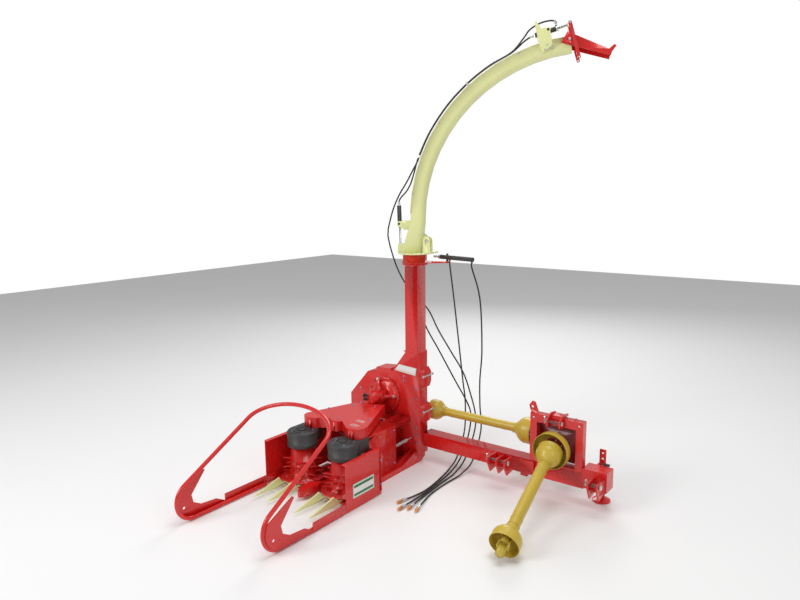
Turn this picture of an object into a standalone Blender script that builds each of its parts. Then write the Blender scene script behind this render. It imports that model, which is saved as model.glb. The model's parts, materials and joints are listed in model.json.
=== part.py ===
"""Side-mounted two-drum forage harvester on a tractor's three-point hitch.

Metres, +Z up.  The machine is laid out from the inner end of its toolbar: X = 0 there and grows
towards the tractor, Y = 0 on the toolbar's front face and shrinks forwards, Z = 0 on the ground.
An empty carries every piece and puts the middle of the machine at X = Y = 0.
"""
from math import acos, asin, atan2, cos, hypot, pi, radians, sin

import bmesh
import bpy
from mathutils import Matrix, Vector

# ---- Driving dimensions -------------------------------------------------------------------
CENTRE_X = -1.2475           # middle of the machine, from the toolbar's inner end
CENTRE_Y = -0.6692           # middle of the machine, from the toolbar's front face
GAP = 0.0003                 # seat between two pieces that touch
PIN_FIT = 0.0010             # a pin in its hole, all round
ROD_FIT = 0.0008             # a piston rod in its gland, all round
RUNNING = 0.006              # a turning piece beside a fixed one
SHEET = 0.006                # pressed sheet
PLATE = 0.012                # lugs and brackets

# toolbar and headstock
BEAM_SIDE = 0.125
BEAM_TOP = 0.271
END_BOX_LENGTH = 0.195
END_BOX_TOP = 0.3125
END_BOX_DEPTH = 0.135
END_BOX_HEIGHT = 0.156
HEAD_MIDDLE = -0.420
HEAD_WIDTH = 0.442
HEAD_TOP = 0.672
HEAD_POST = 0.058
HEAD_DEPTH = 0.065
TOP_LINK_GAP = 0.092
TOP_LINK_REACH = 0.060
TOP_LINK_HEIGHT = 0.640
TOP_PIN_RADIUS = 0.0125

# lower hitch
HITCH_REACH = 0.150
HITCH_PIN_Y = -0.100
HITCH_PIN_Z = 0.240
HITCH_PIN_RADIUS = 0.014
OUTER_HITCH_PLATES = (-0.945, -0.866, -0.792)
INNER_HITCH_PLATES = (-0.094, -0.024)

# drive line
DRIVE_HEIGHT = 0.430
CROSS_SHAFT_Y = 0.215
GEARBOX_SIDE = 0.170
GUARD_RING_RADIUS = 0.143
GUARD_RING_DEPTH = 0.100
GUARD_TUBE_RADIUS = 0.043
JOINT_REACH = 0.085          # front universal joint, ahead of the toolbar's face
JOINT_BALL = 0.018
SHAFT_LENGTH = 1.000
SHAFT_TURN = radians(6.4)
CONE_RADIUS = 0.108
CROSS_TUBE_RADIUS = 0.038

# chopper
CHOPPER_RIGHT = -1.700
CHOPPER_LEFT = -2.490
CHOPPER_FRONT = -0.080
CHOPPER_DEPTH = 0.150
CHOPPER_FLOOR = 0.075
CHOPPER_TOP = 0.775
ROTOR_X = -2.090
ROTOR_RADIUS = 0.318
FRONT_WALL = 0.020           # housing ahead of the rotor's chamber
COVER_X = -2.073             # gear cover on the housing's front
COVER_Z = 0.585

# chute column
COLUMN_SIDE = 0.130
COLUMN_TOP = 1.800
COLUMN_WALL = 0.005
FLARE_TOP = 1.020
RING_RADIUS = 0.110
RING_THICK = 0.014
COLLAR_HEIGHT = 0.080

# turntable and spout
SPOUT_TURN = radians(25)     # rest direction of the discharge, from +X towards +Y
TURNTABLE_RADIUS = 0.144
TURNTABLE_THICK = 0.012
ARC_CENTRE = 1.395
ARC_HEIGHT = 2.200
ARC_OUTER = 1.418
ARC_DEPTH = 0.118
ARC_WIDTH = 0.130
ARC_WALL = 0.003
ARC_STEPS = 13
ARC_ROUND = 0.046            # rounded inner edges of the spout's section
ARC_END = radians(95.2)      # tip of the arc, from the discharge direction
FOLD_X = 0.112
FOLD_Z = 2.012
FOLD_PIN_RADIUS = 0.012
HOOD_X = 1.257
HOOD_Z = 3.587
HOOD_HALF = 0.087
RAM_TRUNNION = (1.091, 3.671)
RAM_EYE = (1.255, 3.713)
FOLD_SIDE = 0.105            # fold cylinder beside the spout's base, on the far side
FOLD_LUG = (-0.150, 1.955)
FOLD_TRUNNION = (-0.155, 2.150)
HOSE_RADIUS = 0.0065
HOSE_LINE = 1.450            # held hoses, from the centre of the spout's bend
COUPLER_RADIUS = 0.0138

# cylinders
BARREL_RADIUS = 0.019
PISTON_ROD = 0.009
TRUNNION_RADIUS = 0.010
PORT_REACH = 0.030

# header
PLATE_INNER = -1.585
PLATE_OUTER = -2.495
PLATE_FRONT = -1.173
PLATE_REAR = -0.772
PLATE_TOP = 0.389
DRUM_Y = -0.950
DRUM_SPREAD = 0.464
DRUM_RADIUS = 0.115
DRUM_LOW = 0.060
DRUM_HIGH = 0.325
TINE_RADIUS = 0.178
FEED_MOUTH = -0.735
CAP_RADIUS = 0.130
COVER_LOW = 0.462
COVER_THICK = 0.088
FEED_LEFT = -2.340
FEED_RIGHT = -1.740
FEED_LOW = 0.045
FEED_TOP = 0.440
BAY_X = -1.870               # wall of the open spring bay beside the feed housing
BAY_Y = -0.350
ROLLER_RIGHT = -1.885
ROLLER_RADIUS = 0.070
HOOP_RADIUS = 0.0165
NOSE_BEND = 0.148            # bend of the hoop round each divider's nose
OUTER_NOSE_Y = -1.9050
INNER_NOSE_Y = -1.830
HOOP_FOOT_Y = -1.200
ARCH_Y = -1.360              # where the hoop's arch springs from its two slopes
ARCH_Z = 0.635

# parking stand
STAND_X = -0.105
STAND_Y = 0.185
STAND_TOP = 0.425
STAND_WIDTH = 0.050
STAND_THICK = 0.012
FOOT_RADIUS = 0.070

HEADER_MIDDLE = (PLATE_INNER + PLATE_OUTER) / 2
# the front shaft droops until the rim of its end cone rests on the ground
SHAFT_DROP = asin((DRIVE_HEIGHT - GAP) / hypot(SHAFT_LENGTH, CONE_RADIUS)) - atan2(CONE_RADIUS, SHAFT_LENGTH)
COLUMN_X = CHOPPER_RIGHT - COLUMN_SIDE / 2
COLUMN_Y = CHOPPER_FRONT + COLUMN_SIDE / 2
TURNTABLE_Z = COLUMN_TOP + RING_THICK + COLLAR_HEIGHT + 2 * GAP

# ---- A clean file -------------------------------------------------------------------------
for old in list(bpy.data.objects):
    bpy.data.objects.remove(old)
parts = bpy.data.collections.new("forage_harvester")
cutters = bpy.data.collections.new("helpers")
for group in (parts, cutters):
    bpy.context.scene.collection.children.link(group)
centre = bpy.data.objects.new("machine_centre", None)
centre.location = (-CENTRE_X, -CENTRE_Y, 0)
parts.objects.link(centre)


def finish(name, colour, roughness, metallic=0.0):
    """A Principled material."""
    made = bpy.data.materials.new(name)
    made.use_nodes = True
    shader = made.node_tree.nodes["Principled BSDF"]
    shader.inputs["Base Color"].default_value = (*colour, 1)
    shader.inputs["Roughness"].default_value = roughness
    shader.inputs["Metallic"].default_value = metallic
    return made


RED = finish("red_paint", (0.75, 0.01, 0.01), 0.35)
CREAM = finish("pale_yellow_paint", (0.92, 0.90, 0.42), 0.40)
MUSTARD = finish("yellow_guard_plastic", (0.60, 0.45, 0.06), 0.35)
BLACK = finish("black_plastic", (0.03, 0.035, 0.035), 0.45)
STEEL = finish("bright_steel", (0.62, 0.63, 0.64), 0.30, 0.9)
DARK = finish("dark_castings", (0.20, 0.01, 0.01), 0.50)
HOSE = finish("black_rubber", (0.015, 0.015, 0.015), 0.60)
COPPER = finish("coupler_caps", (0.75, 0.30, 0.12), 0.35, 0.6)


# ---- Shapes -------------------------------------------------------------------------------
def from_bmesh(shape, smooth=False):
    """A new object from a bmesh."""
    mesh = bpy.data.meshes.new("shape")
    shape.to_mesh(mesh)
    shape.free()
    if smooth:
        mesh.shade_smooth()
        mesh.set_sharp_from_angle(angle=radians(40))
    made = bpy.data.objects.new("shape", mesh)
    bpy.context.scene.collection.objects.link(made)
    return made


def settle(source, turn=None):
    """The evaluated mesh of a curve or a modified object, welded, as a plain object."""
    bpy.context.view_layer.update()
    graph = bpy.context.evaluated_depsgraph_get()
    mesh = bpy.data.meshes.new_from_object(source.evaluated_get(graph))
    shape = bmesh.new()
    shape.from_mesh(mesh)
    bmesh.ops.remove_doubles(shape, verts=shape.verts, dist=0.00002)
    shape.transform((turn or Matrix()) @ source.matrix_world)
    bpy.data.objects.remove(source)
    return from_bmesh(shape, smooth=True)


def box(low, high):
    """A box between two corners."""
    low, high = Vector(low), Vector(high)
    size = high - low
    place = Matrix.Translation((low + high) / 2) @ Matrix.Diagonal((*size, 1))
    shape = bmesh.new()
    bmesh.ops.create_cube(shape, size=1, matrix=place)
    return from_bmesh(shape)


def tapered(low_corner, low_far, high_corner, high_far, base, top):
    """A box whose top rectangle differs from its bottom one; corners are (x, y)."""
    shape = bmesh.new()
    bmesh.ops.create_cube(shape, size=1)
    for vertex in shape.verts:
        near, far = (low_corner, low_far) if vertex.co.z < 0 else (high_corner, high_far)
        vertex.co.x = near[0] if vertex.co.x < 0 else far[0]
        vertex.co.y = near[1] if vertex.co.y < 0 else far[1]
        vertex.co.z = base if vertex.co.z < 0 else top
    return from_bmesh(shape)


def rod(start, end, radius, end_radius=None, sides=None):
    """A round bar, or a cone when end_radius differs."""
    start, end = Vector(start), Vector(end)
    along = end - start
    turn = Vector((0, 0, 1)).rotation_difference(along).to_matrix().to_4x4()
    place = Matrix.Translation((start + end) / 2) @ turn
    sides = sides or (10 if radius < 0.015 else 14 if radius < 0.050 else 22)
    shape = bmesh.new()
    bmesh.ops.create_cone(shape, cap_ends=True, segments=sides, radius1=radius,
                          radius2=radius if end_radius is None else end_radius,
                          depth=along.length, matrix=place)
    return from_bmesh(shape, smooth=True)


def ball_at(middle, radius):
    """A ball."""
    shape = bmesh.new()
    bmesh.ops.create_uvsphere(shape, u_segments=12, v_segments=8, radius=radius,
                              matrix=Matrix.Translation(middle))
    return from_bmesh(shape, smooth=True)


PLANES = {
    "XZ": Matrix(((1, 0, 0, 0), (0, 0, -1, 0), (0, 1, 0, 0), (0, 0, 0, 1))),
    "YZ": Matrix(((0, 0, 1, 0), (1, 0, 0, 0), (0, 1, 0, 0), (0, 0, 0, 1))),
    "XY": Matrix(),
}


def outline(points, plane, start, end, holes=()):
    """A flat outline, with any hole outlines, standing between two values of the third axis."""
    curve = bpy.data.curves.new("outline", "CURVE")
    curve.dimensions = "2D"
    curve.fill_mode = "BOTH"
    curve.extrude = abs(end - start) / 2
    for loop in (points, *holes):
        spline = curve.splines.new("POLY")
        spline.points.add(len(loop) - 1)
        spline.use_cyclic_u = True
        for point, (across, up) in zip(spline.points, loop):
            point.co = (across, up, 0, 1)
    flat = bpy.data.objects.new("outline", curve)
    bpy.context.scene.collection.objects.link(flat)
    middle = (start + end) / 2
    shift = {"XZ": (0, middle, 0), "YZ": (middle, 0, 0), "XY": (0, 0, middle)}[plane]
    return settle(flat, Matrix.Translation(shift) @ PLANES[plane])


def circle(across, up, radius, steps=18, start=0.0, sweep=2 * pi):
    """Points round a circle, or along an arc of it."""
    closed = sweep > 1.999 * pi
    count = steps if closed else steps + 1
    return [(across + radius * cos(start + sweep * i / steps),
             up + radius * sin(start + sweep * i / steps)) for i in range(count)]


def turned(profile, start, along, steps=18):
    """A profile of (radius, distance) pairs turned round a line through start."""
    mesh = bpy.data.meshes.new("profile")
    mesh.from_pydata([(radius, 0, height) for radius, height in profile],
                     [(i, i + 1) for i in range(len(profile) - 1)], [])
    shaft = bpy.data.objects.new("profile", mesh)
    bpy.context.scene.collection.objects.link(shaft)
    screw = shaft.modifiers.new("Turn", "SCREW")
    screw.steps = screw.render_steps = steps
    screw.use_merge_vertices = True
    screw.merge_threshold = 0.00002
    turn = Vector((0, 0, 1)).rotation_difference(Vector(along)).to_matrix().to_4x4()
    return settle(shaft, Matrix.Translation(start) @ turn)


def tube(points, radius):
    """A round tube along a line of points."""
    curve = bpy.data.curves.new("tube", "CURVE")
    curve.dimensions = "3D"
    curve.bevel_depth = radius
    curve.bevel_resolution = 2
    curve.use_fill_caps = True
    spline = curve.splines.new("POLY")
    spline.points.add(len(points) - 1)
    for point, place in zip(spline.points, points):
        point.co = (*place, 1)
    wire = bpy.data.objects.new("tube", curve)
    bpy.context.scene.collection.objects.link(wire)
    return settle(wire)


def loft(rings):
    """A closed solid through rings of equally many points, capped at both ends."""
    shape = bmesh.new()
    loops = [[shape.verts.new(point) for point in ring] for ring in rings]
    for low, high in zip(loops, loops[1:]):
        for i in range(len(low)):
            j = (i + 1) % len(low)
            shape.faces.new((low[i], low[j], high[j], high[i]))
    shape.faces.new(loops[0])
    shape.faces.new(reversed(loops[-1]))
    bmesh.ops.recalc_face_normals(shape, faces=shape.faces)
    return from_bmesh(shape, smooth=True)


def smooth_line(corners, step):
    """Points a step apart on a smooth curve through the corners."""
    points = [Vector(c) for c in corners]
    points = [2 * points[0] - points[1], *points, 2 * points[-1] - points[-2]]
    fine = []
    for before, start, end, after in zip(points, points[1:], points[2:], points[3:]):
        for i in range(12):
            t = i / 12
            fine.append(start + t / 2 * (end - before) + t * t * (before - 2.5 * start + 2 * end - after / 2)
                        + t ** 3 * (1.5 * start - before / 2 - 1.5 * end + after / 2))
    fine.append(points[-2])
    length = sum((b - a).length for a, b in zip(fine, fine[1:]))
    spacing = length / round(length / step)
    line, walked = [fine[0]], 0.0
    for start, end in zip(fine, fine[1:]):
        stretch = (end - start).length
        while walked + stretch >= spacing * len(line) - 1e-6 and len(line) < round(length / spacing):
            line.append(start.lerp(end, (spacing * len(line) - walked) / stretch))
        walked += stretch
    return [*line, fine[-1]]


def combine(target, helper, operation):
    """Give target a live Boolean whose helper is filed away."""
    step = target.modifiers.new(operation.title(), "BOOLEAN")
    step.operation = operation
    step.object = helper
    bpy.context.scene.collection.objects.unlink(helper)
    cutters.objects.link(helper)
    helper.parent = centre
    helper.hide_render = True
    helper.display_type = "WIRE"


def join(target, *others):
    """Weld other shapes onto target."""
    for other in others:
        combine(target, other, "UNION")
    return target


def cut(target, *others):
    """Cut other shapes out of target."""
    for other in others:
        combine(target, other, "DIFFERENCE")
    return target


def keep(made, name, material, pivot=(0, 0, 0)):
    """File a finished piece under its name, its origin on its joint's axis."""
    made.name = name
    made.data.name = name
    made.data.materials.clear()
    made.data.materials.append(material)
    made.data.transform(Matrix.Translation(-Vector(pivot)))
    made.location = pivot
    bpy.context.scene.collection.objects.unlink(made)
    parts.objects.link(made)
    made.parent = centre
    return made


def moved(made, matrix):
    """A shape carried by a matrix."""
    made.data.transform(matrix)
    return made


# ---- Toolbar and headstock ----------------------------------------------------------------
def build_toolbar():
    """Square toolbar with its deeper end box and the sleeve of the parking stand."""
    beam = box((CHOPPER_RIGHT + GAP, 0, BEAM_TOP - BEAM_SIDE), (-END_BOX_LENGTH + 0.01, BEAM_SIDE, BEAM_TOP))
    end = box((-END_BOX_LENGTH, -0.004, END_BOX_TOP - END_BOX_HEIGHT), (0, END_BOX_DEPTH, END_BOX_TOP))
    sleeve = box((STAND_X - 0.040, END_BOX_DEPTH - 0.01, END_BOX_TOP - END_BOX_HEIGHT + 0.01),
                 (STAND_X + 0.040, STAND_Y + 0.022, END_BOX_TOP - 0.012))
    slot = box((STAND_X - STAND_WIDTH / 2 - ROD_FIT, STAND_Y - STAND_THICK / 2 - ROD_FIT, 0.0),
               (STAND_X + STAND_WIDTH / 2 + ROD_FIT, STAND_Y + STAND_THICK / 2 + ROD_FIT, STAND_TOP + 0.1))
    hanger_x = -0.70
    hanger = box((hanger_x - 0.030, 0.02, BEAM_TOP - BEAM_SIDE - 0.035),
                 (hanger_x + 0.030, 0.05, BEAM_TOP - BEAM_SIDE + 0.01))
    keep(cut(join(beam, end, sleeve, hanger), slot), "toolbar_beam", RED)


def build_headstock():
    """Welded window frame with the hook plate on its outer post."""
    left, right = HEAD_MIDDLE - HEAD_WIDTH / 2, HEAD_MIDDLE + HEAD_WIDTH / 2
    low = BEAM_TOP + GAP
    frame = outline([(left, low), (right, low), (right, HEAD_TOP), (left, HEAD_TOP)], "XZ", 0.0, HEAD_DEPTH,
                    [[(left + HEAD_POST, low + 0.012), (right - HEAD_POST, low + 0.012),
                      (right - HEAD_POST, HEAD_TOP - HEAD_POST - 0.01),
                      (left + HEAD_POST, HEAD_TOP - HEAD_POST - 0.01)]])
    ear = outline([(left + 0.004, HEAD_TOP - 0.02), (left + 0.070, HEAD_TOP - 0.02),
                   (left + 0.030, HEAD_TOP + 0.085),
                   (left + 0.004, HEAD_TOP + 0.092), (left - 0.022, HEAD_TOP + 0.055)], "XZ", 0.020,
                   0.020 + PLATE,
                  [circle(left + 0.006, HEAD_TOP + 0.045, 0.011, 12)])
    keep(join(frame, ear), "headstock_frame", RED)

    tops = []
    for side in (-1, 1):
        middle = HEAD_MIDDLE + side * (TOP_LINK_GAP + PLATE) / 2
        tops.append(outline([(-TOP_LINK_REACH, TOP_LINK_HEIGHT - 0.032), (-GAP, TOP_LINK_HEIGHT - 0.050),
                             (-GAP, HEAD_TOP + GAP), (0.100, HEAD_TOP + GAP), (0.100, HEAD_TOP + 0.018),
                             (0.020, HEAD_TOP + 0.030), (-TOP_LINK_REACH + 0.02, TOP_LINK_HEIGHT + 0.036),
                             (-TOP_LINK_REACH, TOP_LINK_HEIGHT + 0.020)], "YZ",
                            middle - PLATE / 2, middle + PLATE / 2,
                            [circle(-TOP_LINK_REACH / 2, TOP_LINK_HEIGHT, TOP_PIN_RADIUS + PIN_FIT, 20)]))
    reach = (TOP_LINK_GAP + 2 * PLATE) / 2
    strap = box((HEAD_MIDDLE - reach, 0.012, HEAD_TOP + GAP), (HEAD_MIDDLE + reach, 0.090, HEAD_TOP + 0.012))
    keep(join(tops[0], tops[1], strap), "top_link_bracket", RED)
    pin_y = -TOP_LINK_REACH / 2
    bar = rod((HEAD_MIDDLE - reach - 0.030, pin_y, TOP_LINK_HEIGHT),
              (HEAD_MIDDLE + reach + 0.004, pin_y, TOP_LINK_HEIGHT),
              TOP_PIN_RADIUS)
    head = rod((HEAD_MIDDLE + reach + GAP, pin_y, TOP_LINK_HEIGHT),
               (HEAD_MIDDLE + reach + 0.010, pin_y, TOP_LINK_HEIGHT),
               TOP_PIN_RADIUS + 0.006)
    keep(join(bar, head), "top_link_pin", STEEL)


def hitch_bracket(name, plates, gusset_end):
    """Lower-link plates on a back strap, with their cross pin."""
    low = BEAM_TOP - BEAM_SIDE
    face = -GAP if plates is OUTER_HITCH_PLATES else -0.004 - GAP
    strap = box((plates[0] - PLATE / 2, face - 0.010, low + 0.004), (gusset_end, face, BEAM_TOP - 0.006))
    for middle in plates:
        ear = outline([(face - 0.004, low + 0.002), (face - 0.004, BEAM_TOP - 0.004),
                       (-HITCH_REACH, BEAM_TOP + 0.002),
                       (-HITCH_REACH, HITCH_PIN_Z - 0.020), (-HITCH_REACH + 0.045, low - 0.012)], "YZ",
                      middle - PLATE / 2, middle + PLATE / 2,
                      [circle(HITCH_PIN_Y, HITCH_PIN_Z, HITCH_PIN_RADIUS + PIN_FIT, 16),
                       circle(HITCH_PIN_Y + 0.010, HITCH_PIN_Z - 0.062, 0.010, 12)])
        join(strap, ear)
    keep(strap, name + "_hitch_bracket", RED)
    bar = rod((plates[0] - 0.040, HITCH_PIN_Y, HITCH_PIN_Z), (plates[-1] + PLATE / 2 + 0.006, HITCH_PIN_Y,
                                                              HITCH_PIN_Z),
              HITCH_PIN_RADIUS)
    head = rod((plates[-1] + PLATE / 2 + GAP, HITCH_PIN_Y, HITCH_PIN_Z),
               (plates[-1] + PLATE / 2 + 0.014, HITCH_PIN_Y, HITCH_PIN_Z), HITCH_PIN_RADIUS + 0.006)
    keep(join(bar, head), name + "_hitch_pin", STEEL)


# ---- Drive line ---------------------------------------------------------------------------
def bell(mouth, waist, length, round_shoulder, wall=0.004):
    """Profile of a guard cone: its mouth at distance 0, its waist at length."""
    shoulder = [(1.0, 0.28), (0.96, 0.50), (0.84, 0.72), (0.66, 0.90)] if round_shoulder else [(1.0, 0.62),
                                                                                               (0.88, 0.66), (0.70, 0.92)]
    outer = [(mouth, 0), *((mouth * share, length * reach) for share, reach in shoulder), (waist, length)]
    return outer, [(radius - wall, height) for radius, height in outer]


def guard_profile(half, tube_radius, mouths, lengths, round_shoulder, wall=0.004):
    """Closed profile of a shaft guard: a tube with a cone at each end, down outside and up inside."""
    far_outer, far_inner = bell(mouths[1], tube_radius, lengths[1], round_shoulder, wall)
    near_outer, near_inner = bell(mouths[0], tube_radius, lengths[0], round_shoulder, wall)
    outside = [(r, half - h) for r, h in far_outer] + [(r, -half + h) for r, h in reversed(near_outer)]
    inside = [(r, -half + h) for r, h in near_inner] + [(r, half - h) for r, h in reversed(far_inner)]
    return outside + inside + [outside[0]]


def yoke(start, along, across, radius):
    """A two-eared yoke: a hub with two ears that hold a cross."""
    start, along, across = Vector(start), Vector(along).normalized(), Vector(across).normalized()
    hub = rod(start, start + along * 0.045, radius)
    turn = Matrix((across, along.cross(across), along)).transposed().to_4x4()
    place = Matrix.Translation(start) @ turn
    for side in (-1, 1):
        ear = moved(box((side * radius - 0.008, -0.016, 0.020), (side * radius + 0.008, 0.016, 0.085)), place)
        join(hub, ear)
    cross = moved(rod((-radius, 0, 0.070), (radius, 0, 0.070), 0.009, sides=12), place)
    return join(hub, cross)


def build_headstock_drive():
    """Gearbox behind the headstock window, and the guard bell round its input."""
    half = GEARBOX_SIDE / 2
    back = HEAD_DEPTH + GAP
    body = box((HEAD_MIDDLE - half, CROSS_SHAFT_Y - half, DRIVE_HEIGHT - half),
               (HEAD_MIDDLE + half, CROSS_SHAFT_Y + half, DRIVE_HEIGHT + half))
    flange = box((HEAD_MIDDLE - HEAD_WIDTH / 2 + 0.02, back, BEAM_TOP + 0.03),
                 (HEAD_MIDDLE + HEAD_WIDTH / 2 - 0.02, back + 0.012, HEAD_TOP - 0.08))
    neck = rod((HEAD_MIDDLE, -0.012, DRIVE_HEIGHT), (HEAD_MIDDLE, CROSS_SHAFT_Y - half + 0.01,
                                                     DRIVE_HEIGHT), 0.070)
    outlet = rod((HEAD_MIDDLE - half - 0.050, CROSS_SHAFT_Y, DRIVE_HEIGHT),
                 (HEAD_MIDDLE, CROSS_SHAFT_Y, DRIVE_HEIGHT), 0.055)
    stub = rod((HEAD_MIDDLE, -0.042, DRIVE_HEIGHT), (HEAD_MIDDLE, 0.0, DRIVE_HEIGHT), 0.030)
    tip = rod((HEAD_MIDDLE, -JOINT_REACH + JOINT_BALL + GAP, DRIVE_HEIGHT),
              (HEAD_MIDDLE, 0.0, DRIVE_HEIGHT), 0.012)
    keep(join(body, flange, neck, outlet, stub, tip), "headstock_gearbox", DARK)
    front = -0.012 - GAP
    ring = turned([(0.085, 0.0), (0.100, 0.0), (GUARD_RING_RADIUS, 0.030),
                   (GUARD_RING_RADIUS + 0.002, GUARD_RING_DEPTH),
                   (GUARD_RING_RADIUS - 0.003, GUARD_RING_DEPTH), (GUARD_RING_RADIUS - 0.005, 0.033),
                   (0.098, 0.005), (0.034, 0.005), (0.034, 0.0), (0.085, 0.0)][::-1],
                  (HEAD_MIDDLE, front, DRIVE_HEIGHT), (0, -1, 0), 28)
    keep(ring, "input_guard_bell", MUSTARD)


def shaft_direction():
    """Unit vector along the front shaft, from the headstock to the tractor end."""
    flat = cos(SHAFT_DROP)
    return Vector((flat * sin(SHAFT_TURN), -flat * cos(SHAFT_TURN), -sin(SHAFT_DROP)))


def build_input_shaft():
    """Swinging front shaft: guard tube with its two cones, and the turning shaft in it."""
    pivot = Vector((HEAD_MIDDLE, -JOINT_REACH, DRIVE_HEIGHT))
    along = shaft_direction()
    across = Vector((cos(SHAFT_TURN), sin(SHAFT_TURN), 0))
    near, far = 0.005, SHAFT_LENGTH
    middle = pivot + along * (near + far) / 2
    profile = guard_profile((far - near) / 2, GUARD_TUBE_RADIUS, (0.100, CONE_RADIUS), (0.165, 0.165), True)
    keep(turned(profile, middle, along), "input_shaft_guard", MUSTARD, pivot)
    bar = rod(pivot + along * 0.030, pivot + along * (SHAFT_LENGTH - 0.050), 0.024)
    near_yoke = yoke(pivot + along * 0.070, -along, across, 0.036)
    far_yoke = yoke(pivot + along * (SHAFT_LENGTH - 0.060), along, across, 0.036)
    end = rod(pivot + along * (SHAFT_LENGTH + 0.010), pivot + along * (SHAFT_LENGTH + 0.085), 0.030)
    ball = ball_at(pivot, JOINT_BALL)
    for reach in (0.175, SHAFT_LENGTH - 0.170):
        join(bar, rod(pivot + along * (reach - 0.008), pivot + along * (reach + 0.008),
                      GUARD_TUBE_RADIUS - 0.004 - ROD_FIT))
    keep(join(bar, near_yoke, far_yoke, end, ball), "input_shaft", MUSTARD, pivot)


def build_cross_shaft():
    """Guarded shaft from the headstock gearbox to the chopper gearbox."""
    inner_end = HEAD_MIDDLE - GEARBOX_SIDE / 2 - 0.050 - 0.150
    outer_end = CHOPPER_RIGHT - 0.040
    middle = Vector(((inner_end + outer_end) / 2, CROSS_SHAFT_Y, DRIVE_HEIGHT))
    half = (inner_end - outer_end) / 2
    profile = guard_profile(half, CROSS_TUBE_RADIUS, (0.092, 0.112), (0.150, 0.200), False)
    keep(turned(profile, middle, (1, 0, 0)), "cross_shaft_guard", MUSTARD)
    start = ROTOR_X + 0.200 + GAP
    end = HEAD_MIDDLE - GEARBOX_SIDE / 2 - 0.050 - GAP
    bar = rod((start, CROSS_SHAFT_Y, DRIVE_HEIGHT), (end, CROSS_SHAFT_Y, DRIVE_HEIGHT), 0.022)
    for place, way in ((outer_end + 0.02, 1), (inner_end - 0.02, -1)):
        join(bar, rod((place, CROSS_SHAFT_Y, DRIVE_HEIGHT),
                      (place + way * 0.060, CROSS_SHAFT_Y, DRIVE_HEIGHT), 0.040))
    join(bar, rod((end - 0.08, CROSS_SHAFT_Y, DRIVE_HEIGHT), (end, CROSS_SHAFT_Y, DRIVE_HEIGHT), 0.036))
    for place in (outer_end + 0.165, inner_end - 0.215):
        join(bar, rod((place - 0.008, CROSS_SHAFT_Y, DRIVE_HEIGHT),
                      (place + 0.008, CROSS_SHAFT_Y, DRIVE_HEIGHT),
                      CROSS_TUBE_RADIUS - 0.004 - ROD_FIT))
    keep(bar, "cross_shaft", STEEL, middle)


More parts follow.
